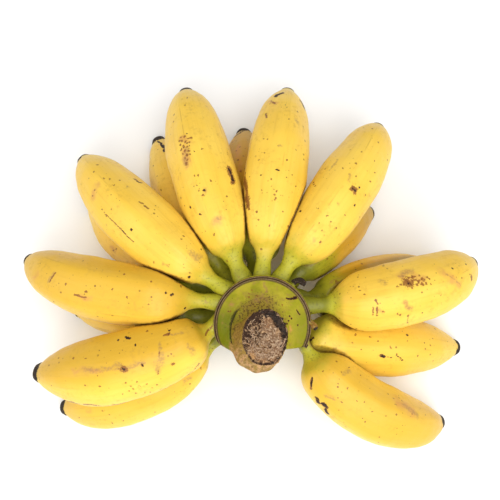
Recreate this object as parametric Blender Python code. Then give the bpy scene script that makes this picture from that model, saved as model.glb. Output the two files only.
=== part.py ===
"""A hand of small dessert bananas on a short piece of its stalk, for Blender 4.5.

Units are metres, with +Z up. The hand lies as it does on a table, with its stalk up and its fingers
arching down. The origin is on the table, under the middle of the hand. +Y runs to the back, away from
the open side that has no fingers, and +X to the right as seen from that open side.
"""

import math
from dataclasses import dataclass

import bmesh
import bpy
import numpy as np
from mathutils import Matrix, Vector

COLLECTION = "banana_hand"

# The crown, where every finger joins the stalk. Its own frame has its middle on the scar ring.
CROWN_MIDDLE = Vector((0.0062, -0.0408, 0.0564))
CROWN_LEAN = math.radians(12)  # the stalk leans to the open front
RING_RADIUS = 0.0256
CROWN_SIDES = 40
CROWN_GAP = 0.0003  # between the crown and the root of each finger

# The cushion fades into the bare stalk over these directions, seen from the stalk's middle.
CUSHION_LEFT = (math.radians(171), math.radians(203))
CUSHION_RIGHT = (math.radians(-9), math.radians(0))

# Levels of the crown and stalk, from the lower cut to the upper one, in the crown's frame:
# height, middle x, middle y, stalk half width, stalk half depth, share of the cushion's reach.
CROWN_LEVELS = (
    (-0.0400, -0.0018, -0.0115, 0.0090, 0.0098, 0.00),
    (-0.0335, -0.0019, -0.0115, 0.0097, 0.0106, 0.02),
    (-0.0290, -0.0020, -0.0115, 0.0105, 0.0115, 0.22),
    (-0.0255, -0.0021, -0.0115, 0.0111, 0.0122, 0.60),
    (-0.0215, -0.0022, -0.0115, 0.0115, 0.0127, 0.88),
    (-0.0150, -0.0023, -0.0112, 0.0121, 0.0130, 1.00),
    (-0.0080, -0.0024, -0.0110, 0.0125, 0.0132, 1.00),
    (-0.0030, -0.0024, -0.0110, 0.0127, 0.0134, 0.99),
    (-0.0018, -0.0024, -0.0110, 0.0127, 0.0134, 1.06),
    (0.0002, -0.0024, -0.0110, 0.0127, 0.0134, 1.06),
    (0.0012, -0.0024, -0.0110, 0.0127, 0.0134, 0.95),
    (0.0028, -0.0025, -0.0112, 0.0128, 0.0134, 0.78),
    (0.0050, -0.0025, -0.0111, 0.0128, 0.0134, 0.52),
    (0.0078, -0.0024, -0.0108, 0.0127, 0.0134, 0.28),
    (0.0120, -0.0021, -0.0098, 0.0124, 0.0136, 0.11),
    (0.0180, -0.0013, -0.0074, 0.0120, 0.0140, 0.02),
    (0.0240, -0.0003, -0.0050, 0.0117, 0.0143, 0.00),
    (0.0310, 0.0009, -0.0028, 0.0115, 0.0145, 0.00),
)
CUT_SLOPE = 0.10  # the upper cut rises this much for each metre to the back

# Where the two rows of necks leave the crown, in its frame.
ROOT_RADIUS = 0.0200  # sunk in from the ring, and then cut back to the crown's skin
ROW_HEIGHT = {"upper": -0.0065, "lower": -0.0185}

# A finger's outline: share of its length from the root, and share of its full half girth.
OUTLINE = (
    (0.000, 0.360),
    (0.070, 0.285),
    (0.130, 0.235),
    (0.175, 0.315),
    (0.225, 0.560),
    (0.290, 0.780),
    (0.380, 0.930),
    (0.490, 1.000),
    (0.620, 1.000),
    (0.740, 0.925),
    (0.820, 0.800),
    (0.885, 0.630),
    (0.935, 0.470),
    (0.970, 0.325),
    (0.988, 0.255),
    (1.000, 0.220),
)
NECK_REACH = 0.225  # the neck and the start of the body take this share of the length
NECK_END = 0.16  # the green neck reaches this share of it
TIP_START = 0.980  # the dry flower end starts here
RIBS = 5
RIB_DEPTH = 0.032  # share of the girth that the soft ribs stand out
RIBS_RISE = (0.16, 0.30)
RIBS_FADE = (0.85, 0.98)
FINGER_SIDES = 15
FINGER_RINGS = 19
LINE_POINTS = 61
TOUCH_GAP = 0.0004  # left between two fingers that press on each other
PRESS_STEPS = 16

# The hand rests on small flats that the table presses into these fingers.
RESTING = ("lower_finger_1", "lower_finger_3", "lower_finger_4", "lower_finger_5", "lower_finger_8")
TABLE_REACH = 0.4
TABLE_DEPTH = 0.02


@dataclass(frozen=True)
class Finger:
    """One banana: where its neck leaves the crown, how it bends, and its size."""

    name: str
    row: str
    bearing: float  # place of the root on the crown, degrees from +X
    heading: float  # way the neck sets out, degrees from +X
    hook: float  # degrees it swings round within the first third
    turn: float  # degrees it swings round evenly along its length
    rise: float  # pitch of the neck, degrees above level
    dip: float  # degrees the pitch falls by the tip
    length: float
    girth: float
    roll: float  # degrees the ribs are turned
    neck: float = 1.0  # length of its neck against the usual one


FINGERS = (
    Finger("upper_finger_1", "upper", 172, 217, -2, -41, 8, 32, 0.1145, 0.0380, 10, 0.9),
    Finger("upper_finger_2", "upper", 147, 176, 14, -43, 10, 40, 0.1285, 0.0345, 40),
    Finger("upper_finger_3", "upper", 133, 149, -2, -21, 10, 40, 0.1325, 0.0360, 20),
    Finger("upper_finger_4", "upper", 112, 117, -5, -12, 10, 40, 0.1370, 0.0372, 0),
    Finger("upper_finger_5", "upper", 92, 84, -1, -2, 10, 40, 0.1310, 0.0346, 30),
    Finger("upper_finger_6", "upper", 73, 56, -10, 20, 8, 38, 0.1285, 0.0345, 15),
    Finger("upper_finger_7", "upper", 29, 0, -4, 37, 8, 38, 0.1150, 0.0360, 25),
    Finger("upper_finger_8", "upper", -9, -68, 2, 74, -6, 30, 0.1155, 0.0338, 5, 0.8),
    Finger("lower_finger_1", "lower", 190, 227, 0, -46, -10, 14, 0.1160, 0.0336, 12, 0.9),
    Finger("lower_finger_2", "lower", 165, 194, -34, 22, -12, 16, 0.1000, 0.0335, 33),
    Finger("lower_finger_3", "lower", 144, 153, -5, -11, -12, 12.2, 0.1200, 0.0340, 8),
    Finger("lower_finger_4", "lower", 124, 134, -15, -8, -12, 11.8, 0.1255, 0.0335, 50),
    Finger("lower_finger_5", "lower", 103, 80, 15, 2, -12, 16, 0.1160, 0.0335, 20),
    Finger("lower_finger_6", "lower", 60, 41, 36, -57, -12, 20, 0.0880, 0.0335, 45),
    Finger("lower_finger_7", "lower", 40, -4, 22, -1, -12, 17.4, 0.1050, 0.0340, 0, 0.85),
    Finger("lower_finger_8", "lower", 4, -44, 40, 6, -12, 14, 0.1090, 0.0345, 28, 0.55),
)

# The shrivelled stubs of two fingers that never filled out: name, row height and bearing on the
# crown, heading, pitch and length. Their outline is their distance from the root and their radius.
STUBS = (
    ("withered_stub_1", -0.0050, 50, 40, 14, 0.0125),
    ("withered_stub_2", -0.0020, 9, -30, 30, 0.0088),
)
STUB_OUTLINE = (
    (0.00, 0.0026),
    (0.45, 0.0022),
    (0.62, 0.0024),
    (0.78, 0.0027),
    (0.92, 0.0022),
    (1.00, 0.0012),
)
STUB_SIDES = 9
STUB_ROOT_RADIUS = 0.0225
STUB_DRY_START = 0.6
STUB_PUCKER = 0.12  # share that the dry end's three folds stand out


def crown_frame():
    """The crown's own frame, as a matrix."""
    return Matrix.Translation(CROWN_MIDDLE) @ Matrix.Rotation(CROWN_LEAN, 4, "X")


def smooth_curve(known, values, wanted):
    """Values read from a smooth curve through the known points, without overshoot."""
    known, values = np.asarray(known, float), np.asarray(values, float)
    slopes = np.diff(values) / np.diff(known)
    tangents = np.zeros_like(values)
    rising = slopes[:-1] * slopes[1:] > 0
    tangents[1:-1][rising] = 2 / (1 / slopes[:-1][rising] + 1 / slopes[1:][rising])
    tangents[0], tangents[-1] = slopes[0], slopes[-1]
    index = np.clip(np.searchsorted(known, wanted) - 1, 0, len(slopes) - 1)
    width = known[index + 1] - known[index]
    t = (wanted - known[index]) / width
    return (
        (1 + 2 * t) * (1 - t) ** 2 * values[index]
        + t * (1 - t) ** 2 * width * tangents[index]
        + t * t * (3 - 2 * t) * values[index + 1]
        - t * t * (1 - t) * width * tangents[index + 1]
    )


def fade(value, start, end):
    """0 before start and 1 after end, changing smoothly in between."""
    t = np.clip((value - start) / (end - start), 0, 1)
    return t * t * (3 - 2 * t)


def centre_line(finger):
    """The finger's middle from root to tip: points, and the side and up directions there."""
    share = np.linspace(0, 1, LINE_POINTS)
    heading = np.radians(
        finger.heading + finger.hook * fade(share, 0, 1 / 3) + finger.turn * share
    )
    pitch = np.radians(finger.rise - finger.dip * share)
    ahead = np.stack(
        (np.cos(heading) * np.cos(pitch), np.sin(heading) * np.cos(pitch), np.sin(pitch)),
        axis=1,
    )
    side = np.stack((-np.sin(heading), np.cos(heading), np.zeros(LINE_POINTS)), axis=1)
    bearing = math.radians(finger.bearing)
    root = crown_frame() @ Vector(
        (
            ROOT_RADIUS * math.cos(bearing),
            ROOT_RADIUS * math.sin(bearing),
            ROW_HEIGHT[finger.row],
        )
    )
    steps = (ahead[:-1] + ahead[1:]) / 2 * finger.length / (LINE_POINTS - 1)
    points = np.vstack((np.zeros(3), np.cumsum(steps, axis=0))) + np.array(root)
    return points, side, np.cross(ahead, side)


def stations(finger):
    """Where each level of the outline falls on this finger, as a share of its length."""
    usual = [share for share, _ in OUTLINE]
    return np.interp(usual, (0, NECK_REACH, 1), (0, NECK_REACH * finger.neck, 1))


def half_girth(finger, share):
    """The finger's radius at a share of its length."""
    return smooth_curve(stations(finger), [r for _, r in OUTLINE], share) * finger.girth / 2


def skin_depth(points, line, radii):
    """How far each point is outside a finger, or inside it if below zero."""
    gap = np.linalg.norm(points[:, None, :] - line[None, :, :], axis=2)
    return (gap - radii[None, :]).min(axis=1)


def pressed(origins, ways, reach, plain, neighbours):
    """The reach of each skin point, cut short where a neighbour presses on it.

    Two fingers that would overlap each keep the half of the space that lies nearer to their own
    skin, so they flatten against each other as ripe fingers do.
    """
    line, radii = neighbours

    def room(distance):
        there = origins + ways * distance[:, None]
        return skin_depth(there, line, radii) - (distance - plain) - TOUCH_GAP

    low, high = np.zeros_like(reach), reach.copy()
    free = room(high) >= 0
    for _ in range(PRESS_STEPS):
        middle = (low + high) / 2
        clear = room(middle) >= 0
        low, high = np.where(clear, middle, low), np.where(clear, high, middle)
    return np.where(free, reach, low)


def tube(sides, rings):
    """A closed cylinder of unit radius and height from 0 to 1, cut into rings."""
    shape = bmesh.new()
    bmesh.ops.create_cone(
        shape, cap_ends=True, segments=sides, radius1=1, radius2=1, depth=1,
        matrix=Matrix.Translation((0, 0, 0.5)),
    )
    upright = [e for e in shape.edges if abs(e.verts[0].co.z - e.verts[1].co.z) > 0.5]
    bmesh.ops.subdivide_edges(shape, edges=upright, cuts=rings - 2, use_grid_fill=True)
    return shape


def material(name, colour, roughness):
    """A Principled BSDF with one colour."""
    made = bpy.data.materials.new(name)
    made.use_nodes = True
    shader = made.node_tree.nodes["Principled BSDF"]
    shader.inputs["Base Color"].default_value = (*colour, 1)
    shader.inputs["Roughness"].default_value = roughness
    shader.inputs["Metallic"].default_value = 0
    return made


def add_object(name, shape, materials, collection):
    """A mesh object made from a bmesh, with smooth shading and its materials."""
    mesh = bpy.data.meshes.new(name)
    shape.to_mesh(mesh)
    shape.free()
    for each in materials:
        mesh.materials.append(each)
    mesh.shade_smooth()
    mesh.set_sharp_from_angle(angle=math.radians(50))
    made = bpy.data.objects.new(name, mesh)
    collection.objects.link(made)
    return made


def cushion_reach(angle, middle):
    """Distance from the stalk's middle to the ring's circle, along each direction."""
    away = -(np.cos(angle) * middle[0] + np.sin(angle) * middle[1])
    inside = RING_RADIUS**2 - middle[0] ** 2 - middle[1] ** 2
    return away + np.sqrt(away**2 + inside)


def cushion_presence(angle):
    """1 where the cushion of necks wraps the stalk, and 0 on the stalk's open side."""
    from_right = np.where(angle < -math.pi / 2, angle + 2 * math.pi, angle)
    return fade(from_right, *CUSHION_RIGHT) * (1 - fade(from_right, *CUSHION_LEFT))


def crown_shape(grow=0.0):
    """The crown and stalk as one closed bmesh, or that shape with its skin moved out by grow."""
    shape = tube(CROWN_SIDES, len(CROWN_LEVELS))
    frame = crown_frame()
    last = len(CROWN_LEVELS) - 1
    for vertex in shape.verts:
        level = round(vertex.co.z * last)
        height, x, y, width, depth, share = CROWN_LEVELS[level]
        angle = math.atan2(vertex.co.y, vertex.co.x)
        bare = 1 / math.hypot(math.cos(angle) / width, math.sin(angle) / depth)
        reach = float(cushion_reach(angle, (x, y)))
        share *= float(cushion_presence(angle))
        radius = bare + max(reach - bare, 0) * share + grow
        place = Vector((x + radius * math.cos(angle), y + radius * math.sin(angle), height))
        if level == last:
            place.z += CUT_SLOPE * (place.y - y)
        vertex.co = frame @ place
    return shape


def finger_shape(finger, lines):
    """One finger as a closed bmesh, pressed by its neighbours."""
    shape = tube(FINGER_SIDES, FINGER_RINGS)
    verts = list(shape.verts)
    plain_tube = np.array([v.co for v in verts])
    levels = np.arange(len(OUTLINE))
    ring = plain_tube[:, 2] * (len(OUTLINE) - 1)
    share = np.interp(ring, levels, stations(finger))
    angle = np.arctan2(plain_tube[:, 1], plain_tube[:, 0])

    points, side, up = lines[finger.name][:3]
    at = share * (LINE_POINTS - 1)
    known = np.arange(LINE_POINTS)

    def along(values):
        return np.stack([np.interp(at, known, values[:, k]) for k in range(3)], axis=1)

    origins = along(points)
    around = angle + math.radians(finger.roll)
    ways = along(side) * np.cos(around)[:, None] + along(up) * np.sin(around)[:, None]
    ways /= np.linalg.norm(ways, axis=1)[:, None]
    plain = half_girth(finger, share)
    body = fade(share, *RIBS_RISE) * (1 - fade(share, *RIBS_FADE))
    reach = plain * (1 + RIB_DEPTH * body * np.cos(RIBS * angle))

    others = [lines[name] for name in lines if name != finger.name]
    neighbours = (
        np.vstack([other[0] for other in others]),
        np.concatenate([other[3] for other in others]),
    )
    reach = pressed(origins, ways, reach, plain, neighbours)
    for vertex, place in zip(verts, origins + ways * reach[:, None]):
        vertex.co = place
    share_of = dict(zip(verts, share))
    neck_end = NECK_END * finger.neck
    for face in shape.faces:
        middle = sum(share_of[v] for v in face.verts) / len(face.verts)
        face.material_index = 1 if middle < neck_end else 2 if middle > TIP_START else 0
    return shape


def table_shape():
    """The table as a slab, which flattens the fingers that the hand rests on."""
    shape = bmesh.new()
    size = Matrix.Diagonal((TABLE_REACH, TABLE_REACH, TABLE_DEPTH, 1))
    bmesh.ops.create_cube(
        shape, size=1, matrix=Matrix.Translation((0, 0, -TABLE_DEPTH / 2)) @ size
    )
    return shape


def cut_away(piece, name, cutter):
    """Takes the cutter's space out of a piece."""
    trim = piece.modifiers.new(name, "BOOLEAN")
    trim.operation = "DIFFERENCE"
    trim.object = cutter


def stub_shape(height, bearing, heading, pitch, length):
    """One withered stub as a closed bmesh, with a puckered dry end."""
    shape = tube(STUB_SIDES, len(STUB_OUTLINE))
    bearing, heading, pitch = (math.radians(value) for value in (bearing, heading, pitch))
    root = crown_frame() @ Vector(
        (STUB_ROOT_RADIUS * math.cos(bearing), STUB_ROOT_RADIUS * math.sin(bearing), height)
    )
    turned = Matrix.Rotation(heading, 3, "Z") @ Matrix.Rotation(math.pi / 2 - pitch, 3, "Y")
    for face in shape.faces:
        share = face.calc_center_median().z
        face.material_index = 1 if share > STUB_DRY_START else 0
    last = len(STUB_OUTLINE) - 1
    for vertex in shape.verts:
        share, radius = STUB_OUTLINE[round(vertex.co.z * last)]
        angle = math.atan2(vertex.co.y, vertex.co.x)
        radius *= 1 + STUB_PUCKER * share * math.cos(3 * angle)
        local = Vector((radius * math.cos(angle), radius * math.sin(angle), share * length))
        vertex.co = root + turned @ local
    return shape


def build():
    """Clears the scene and models the hand."""
    for old in list(bpy.data.objects):
        bpy.data.objects.remove(old)
    parts = bpy.data.collections.new(COLLECTION)
    cutters = bpy.data.collections.new("cutters")
    for collection in (parts, cutters):
        bpy.context.scene.collection.children.link(collection)

    peel = material("yellow_peel", (0.78, 0.52, 0.07), 0.45)
    neck = material("green_neck", (0.36, 0.38, 0.06), 0.50)
    tip = material("dry_flower_end", (0.05, 0.035, 0.025), 0.85)
    rind = material("stalk_rind", (0.34, 0.33, 0.06), 0.55)

    add_object("stalk_and_crown", crown_shape(), [rind], parts)
    crown_cutter = add_object("crown_clearance", crown_shape(CROWN_GAP), [neck], cutters)
    table_cutter = add_object("table_top", table_shape(), [neck], cutters)
    for cutter in (crown_cutter, table_cutter):
        cutter.hide_render = True
        cutter.display_type = "WIRE"

    lines = {}
    for finger in FINGERS:
        points, side, up = centre_line(finger)
        radii = half_girth(finger, np.linspace(0, 1, LINE_POINTS))
        lines[finger.name] = (points, side, up, radii)
    grown = [
        add_object(finger.name, finger_shape(finger, lines), [peel, neck, tip], parts)
        for finger in FINGERS
    ]
    grown += [add_object(name, stub_shape(*size), [neck, tip], parts) for name, *size in STUBS]
    for piece in grown:
        cut_away(piece, "root_on_crown", crown_cutter)
        if piece.name in RESTING:
            cut_away(piece, "flat_on_table", table_cutter)


build()
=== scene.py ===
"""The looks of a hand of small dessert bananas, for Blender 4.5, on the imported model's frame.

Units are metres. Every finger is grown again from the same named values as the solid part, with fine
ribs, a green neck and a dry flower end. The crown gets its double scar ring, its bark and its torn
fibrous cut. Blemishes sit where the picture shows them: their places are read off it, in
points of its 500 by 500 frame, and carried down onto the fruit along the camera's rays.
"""

from __future__ import annotations

import logging
import math
from dataclasses import dataclass
from enum import Enum

import bmesh
import bpy
import numpy as np
from mathutils import Matrix, Vector, noise

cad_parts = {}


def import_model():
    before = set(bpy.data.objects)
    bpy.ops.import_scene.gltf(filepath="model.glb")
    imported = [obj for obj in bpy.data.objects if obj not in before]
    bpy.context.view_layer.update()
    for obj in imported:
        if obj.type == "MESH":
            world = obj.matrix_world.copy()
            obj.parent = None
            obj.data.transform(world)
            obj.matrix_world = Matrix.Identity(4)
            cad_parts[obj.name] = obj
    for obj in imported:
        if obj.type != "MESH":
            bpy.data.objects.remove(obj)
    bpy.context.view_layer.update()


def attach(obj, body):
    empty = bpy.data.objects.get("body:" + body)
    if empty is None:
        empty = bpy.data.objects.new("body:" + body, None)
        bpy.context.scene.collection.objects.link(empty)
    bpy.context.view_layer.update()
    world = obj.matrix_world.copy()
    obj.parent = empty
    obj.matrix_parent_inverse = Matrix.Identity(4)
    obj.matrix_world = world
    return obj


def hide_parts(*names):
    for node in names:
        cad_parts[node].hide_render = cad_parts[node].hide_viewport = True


LOG = logging.getLogger("banana_hand")
BODY = "root"
Array = np.ndarray
Point = tuple[float, float]


class Blemish(Enum):
    """Kinds of blemish on the peel, each with its own field on the mesh."""

    FLECK = "fleck"  # black-brown and crisp
    RUST = "rust"  # red-brown, broken up
    SCUFF = "scuff"  # grey-brown and thin
    BLUSH = "blush"  # orange tan and soft


class Row(Enum):
    """The two rows of fingers on the crown, with the height of each row's roots."""

    UPPER = -0.0065
    LOWER = -0.0185


@dataclass(frozen=True)
class Mark:
    """One blemish, given by the points of the picture that it passes through."""

    kind: Blemish
    path: tuple[Point, ...]
    width: float  # points of the picture


def marks(kind: Blemish, width: float, *places: Point) -> list[Mark]:
    """Separate round blemishes of one kind and width.

    Args:
        kind: what they look like.
        width: how wide each is, in points of the picture.
        places: where each one shows.

    Returns:
        The blemishes.
    """
    return [Mark(kind, (place,), width) for place in places]


def stroke(kind: Blemish, width: float, *path: Point) -> list[Mark]:
    """One long blemish along a path, as a list of one."""
    return [Mark(kind, path, width)]


def fade(value: Array | float, start: float, end: float) -> Array | float:
    """0 before start and 1 after end, changing smoothly in between.

    Args:
        value: where to read it.
        start: the last place of 0.
        end: the first place of 1.

    Returns:
        The share, between 0 and 1.
    """
    t = np.clip((value - start) / (end - start), 0, 1)
    return t * t * (3 - 2 * t)


def smooth_curve(known: Array, values: Array, wanted: Array) -> Array:
    """Values read from a smooth curve through the known points, without overshoot.

    Args:
        known: rising places of the known values.
        values: the values there.
        wanted: the places to read.

    Returns:
        The values at the wanted places.
    """
    known, values = np.asarray(known, float), np.asarray(values, float)
    slopes = np.diff(values) / np.diff(known)
    tangents = np.zeros_like(values)
    rising = slopes[:-1] * slopes[1:] > 0
    tangents[1:-1][rising] = 2 / (1 / slopes[:-1][rising] + 1 / slopes[1:][rising])
    tangents[0], tangents[-1] = slopes[0], slopes[-1]
    index = np.clip(np.searchsorted(known, wanted) - 1, 0, len(slopes) - 1)
    width = known[index + 1] - known[index]
    t = (wanted - known[index]) / width
    return (
        (1 + 2 * t) * (1 - t) ** 2 * values[index]
        + t * (1 - t) ** 2 * width * tangents[index]
        + t * t * (3 - 2 * t) * values[index + 1]
        - t * t * (1 - t) * width * tangents[index + 1]
    )


def ripple(places: Array, length: float, seed: int, waves: int = 7) -> Array:
    """A gentle uneven swell over space, about as large as 1.

    Args:
        places: points in metres, one a row.
        length: distance from crest to crest.
        seed: picks one of many patterns.
        waves: how many plain waves are added up.

    Returns:
        The height of the swell at each point.
    """
    chance = np.random.default_rng(seed)
    ways = chance.normal(size=(waves, 3))
    ways *= (2 * math.pi / length) / np.linalg.norm(ways, axis=1)[:, None]
    ways *= chance.uniform(0.6, 1.5, (waves, 1))
    shifts = chance.uniform(0, 2 * math.pi, waves)
    return np.sin(places @ ways.T + shifts).sum(axis=1) / math.sqrt(waves)


def grain(places: Array, size: float) -> Array:
    """Fine uneven noise over space, between about -1 and 1.

    Args:
        places: points in metres, one a row.
        size: the width of one grain.

    Returns:
        The noise at each point.
    """
    return np.array([noise.fractal(Vector(p) / size, 1.0, 2.0, 4) for p in places])


@dataclass(frozen=True)
class Lens:
    """The photograph's camera, which looks down on the hand from slightly in front."""

    elevation: float = 78.0
    distance: float = 0.37431  # from the camera to the scar ring, along the view
    ring_at: Point = (262.3, 325.0)  # where the middle of the scar ring shows
    focal: float = 50.0
    sensor: float = 36.0
    frame: int = 500

    @property
    def scale(self) -> float:
        """Points of the picture for each unit of slope."""
        return self.focal / self.sensor * self.frame

    def axes(self) -> tuple[Array, Array, Array]:
        """The ways ahead, to the right and up in the picture."""
        tilt = math.radians(self.elevation)
        ahead = np.array([0.0, math.cos(tilt), -math.sin(tilt)])
        right = np.array([1.0, 0.0, 0.0])
        return ahead, right, np.cross(right, ahead)

    def place(self) -> Array:
        """Where the camera stands."""
        ahead, right, up = self.axes()
        across = (self.ring_at[0] - self.frame / 2) / self.scale * self.distance
        down = (self.ring_at[1] - self.frame / 2) / self.scale * self.distance
        return np.array(CROWN_MIDDLE) - ahead * self.distance - right * across + up * down

    def shown_at(self, places: Array) -> tuple[Array, Array]:
        """Where points show in the picture.

        Args:
            places: points in metres, one a row.

        Returns:
            The points of the picture, and how far ahead of the camera each place is.
        """
        ahead, right, up = self.axes()
        gap = places - self.place()
        depth = gap @ ahead
        x = self.frame / 2 + self.scale * (gap @ right) / depth
        y = self.frame / 2 - self.scale * (gap @ up) / depth
        return np.stack((x, y), axis=1), depth

    def build(self) -> bpy.types.Object:
        """Makes the camera and gives it to the scene."""
        ahead, right, up = self.axes()
        data = bpy.data.cameras.new("camera")
        data.lens, data.sensor_width = self.focal, self.sensor
        data.clip_start = 0.01
        made = bpy.data.objects.new("camera", data)
        bpy.context.scene.collection.objects.link(made)
        turn = Matrix((right, up, -ahead)).transposed().to_4x4()
        made.matrix_world = Matrix.Translation(Vector(self.place())) @ turn
        bpy.context.scene.camera = made
        return made


CROWN_MIDDLE = Vector((0.0062, -0.0408, 0.0564))
CROWN_LEAN = math.radians(12)
LENS = Lens()


def crown_frame() -> Matrix:
    """The crown's own frame, with its middle on the scar ring."""
    return Matrix.Translation(CROWN_MIDDLE) @ Matrix.Rotation(CROWN_LEAN, 4, "X")


def from_crown(places: Array) -> Array:
    """Points turned out of the crown's own frame."""
    frame = np.array(crown_frame())
    return places @ frame[:3, :3].T + frame[:3, 3]


def root_place(radius: float, bearing: float, height: float) -> Array:
    """A place on the crown, by its bearing in degrees round the middle, as one row."""
    way = math.radians(bearing)
    return from_crown(np.array([[radius * math.cos(way), radius * math.sin(way), height]]))


# Meshes -------------------------------------------------------------------------------------------


def mesh_of(shape: bmesh.types.BMesh, name: str) -> bpy.types.Mesh:
    """Turns a bmesh into a mesh of that name, and frees it."""
    mesh = bpy.data.meshes.new(name)
    shape.to_mesh(mesh)
    shape.free()
    return mesh


def tube_mesh(name: str, sides: int, rings: int) -> bpy.types.Mesh:
    """A closed cylinder of unit radius and height from 0 to 1, cut into rings.

    Args:
        name: the mesh's name.
        sides: faces round it.
        rings: rings of points along it, the two ends among them.

    Returns:
        The mesh.
    """
    shape = bmesh.new()
    bmesh.ops.create_cone(
        shape, cap_ends=True, segments=sides, radius1=1, radius2=1, depth=1,
        matrix=Matrix.Translation((0, 0, 0.5)),
    )
    upright = [e for e in shape.edges if abs(e.verts[0].co.z - e.verts[1].co.z) > 0.5]
    bmesh.ops.subdivide_edges(shape, edges=upright, cuts=rings - 2, use_grid_fill=True)
    return mesh_of(shape, name)


def rings_and_angles(mesh: bpy.types.Mesh, rings: int) -> tuple[Array, Array]:
    """The ring of a plain tube that each point is in, and the point's angle round it."""
    places = get_places(mesh)
    return np.round(places[:, 2] * (rings - 1)).astype(int), np.arctan2(places[:, 1], places[:, 0])


def closed_end(rings: int, closing: int, hole: float) -> tuple[Array, Array]:
    """Shares a tube's rings out between its length and its closed end.

    Args:
        rings: the tube's rings.
        closing: how many of them close the end.
        hole: what the last one leaves open, against the radius.

    Returns:
        Each ring's share of the length, and of the radius.
    """
    stations = np.concatenate((np.linspace(0, 1, rings - closing), np.ones(closing)))
    return stations, np.concatenate((np.ones(rings - closing), np.linspace(1, hole, closing + 1)[1:]))


def ahead_and_side(heading: Array, pitch: Array) -> tuple[Array, Array]:
    """The ways ahead and to the side along a line that heads and climbs so, in radians."""
    level = np.cos(pitch)
    ahead = np.stack((np.cos(heading) * level, np.sin(heading) * level, np.sin(pitch)), axis=1)
    return ahead, np.stack((-np.sin(heading), np.cos(heading), np.zeros_like(heading)), axis=1)


def read_along(values: Array, share: Array) -> Array:
    """Values of a line, a row for each of its points, read at shares of its length."""
    at, known = share * (len(values) - 1), np.arange(len(values))
    return np.stack([np.interp(at, known, column) for column in values.T], axis=1)


def get_places(mesh: bpy.types.Mesh) -> Array:
    """The mesh's points, one a row."""
    places = np.empty(len(mesh.vertices) * 3, np.float32)
    mesh.vertices.foreach_get("co", places)
    return places.reshape(-1, 3).astype(float)


def set_places(mesh: bpy.types.Mesh, places: Array) -> None:
    """Moves the mesh's points."""
    mesh.vertices.foreach_set("co", places.astype(np.float32).ravel())
    mesh.update()


def set_field(mesh: bpy.types.Mesh, name: str, values: Array) -> None:
    """Keeps one number, or one triple, for each point of the mesh, for a finish to read.

    Args:
        mesh: the mesh.
        name: the field's name.
        values: a number or a row of three for each point.
    """
    triple = values.ndim == 2
    made = mesh.attributes.new(name, "FLOAT_VECTOR" if triple else "FLOAT", "POINT")
    made.data.foreach_set("vector" if triple else "value", values.astype(np.float32).ravel())


def add_piece(
    name: str, mesh: bpy.types.Mesh, finish: bpy.types.Material, slot: str, *nodes: str
) -> bpy.types.Object:
    """Puts a finished mesh into the scene as a piece of the hand.

    Args:
        name: the piece's name.
        mesh: its mesh, in place.
        finish: its material.
        slot: the record's material slot that it stands for; not used.
        nodes: the solid part's nodes that it replaces.

    Returns:
        The object.
    """
    mesh.materials.clear()
    mesh.materials.append(finish)
    mesh.shade_smooth()
    made = bpy.data.objects.new(name, mesh)
    bpy.context.scene.collection.objects.link(made)
    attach(made, BODY)
    if nodes:
        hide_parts(*nodes)
    LOG.info("%s: %d faces", name, len(mesh.polygons))
    return made


NEAREST = 1.6  # points of the picture round a blemish that are looked at
FRONT_DEPTH = 0.003  # how much farther than the nearest of them a point may lie


def carried_down(path: tuple[Point, ...], places: Array, shown: Array, depth: Array) -> Array:
    """Carries points of the picture down onto a surface along the camera's rays.

    Args:
        path: points of the picture.
        places: the surface's points.
        shown: where each of them shows.
        depth: how far ahead of the camera each is.

    Returns:
        The place on the surface for each point of the path.
    """
    found = []
    for point in path:
        gap = np.linalg.norm(shown - np.array(point), axis=1)
        near = gap < max(NEAREST, gap.min() + 0.4)
        near &= depth < depth[near].min() + FRONT_DEPTH
        weight = 1 / (gap[near] + 0.1) ** 2
        found.append((places[near] * weight[:, None]).sum(axis=0) / weight.sum())
    return np.array(found)


def closeness(places: Array, path: Array, width: float) -> Array:
    """1 on a path and 0.5 at the edge of its width, falling to 0.

    Args:
        places: points to read it at.
        path: the path's points.
        width: its full width.

    Returns:
        The closeness at each point.
    """
    if len(path) == 1:
        gap = np.linalg.norm(places - path[0], axis=1)
        return np.clip(1 - gap / width, 0, 1)
    gap = np.full(len(places), np.inf)
    for start, end in zip(path[:-1], path[1:]):
        along = end - start
        share = np.clip((places - start) @ along / max(along @ along, 1e-12), 0, 1)
        gap = np.minimum(gap, np.linalg.norm(places - start - share[:, None] * along, axis=1))
    return np.clip(1 - gap / width, 0, 1)


def dress_with_marks(mesh: bpy.types.Mesh, places: Array, given: list[Mark], lens: Lens) -> None:
    """Keeps a field for each kind of blemish on a mesh.

    Args:
        mesh: the mesh to mark.
        places: its points.
        given: the blemishes that the picture shows on it.
        lens: the camera that they're carried down from.
    """
    shown, depth = lens.shown_at(places)
    fields = {kind: np.zeros(len(places)) for kind in Blemish}
    for count, mark in enumerate(given):
        path = carried_down(mark.path, places, shown, depth)
        size = mark.width * (lens.distance + 0.01) / lens.scale
        middle = path.mean(axis=0)
        far = np.linalg.norm(path - middle, axis=1).max() + 3 * size
        near = np.flatnonzero(np.linalg.norm(places - middle, axis=1) < far)
        spots = places[near]
        waves = 2.4 * size + 0.0006
        wobble = np.stack([ripple(spots, waves, 31 * count + axis) for axis in range(3)], axis=1)
        value = closeness(spots + 0.24 * size * wobble, path, size)
        fields[mark.kind][near] = np.maximum(fields[mark.kind][near], value)
    for kind, values in fields.items():
        set_field(mesh, kind.value, values)


# Finishes -----------------------------------------------------------------------------------------

Colour = tuple[float, float, float]
Socket = bpy.types.NodeSocket


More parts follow.
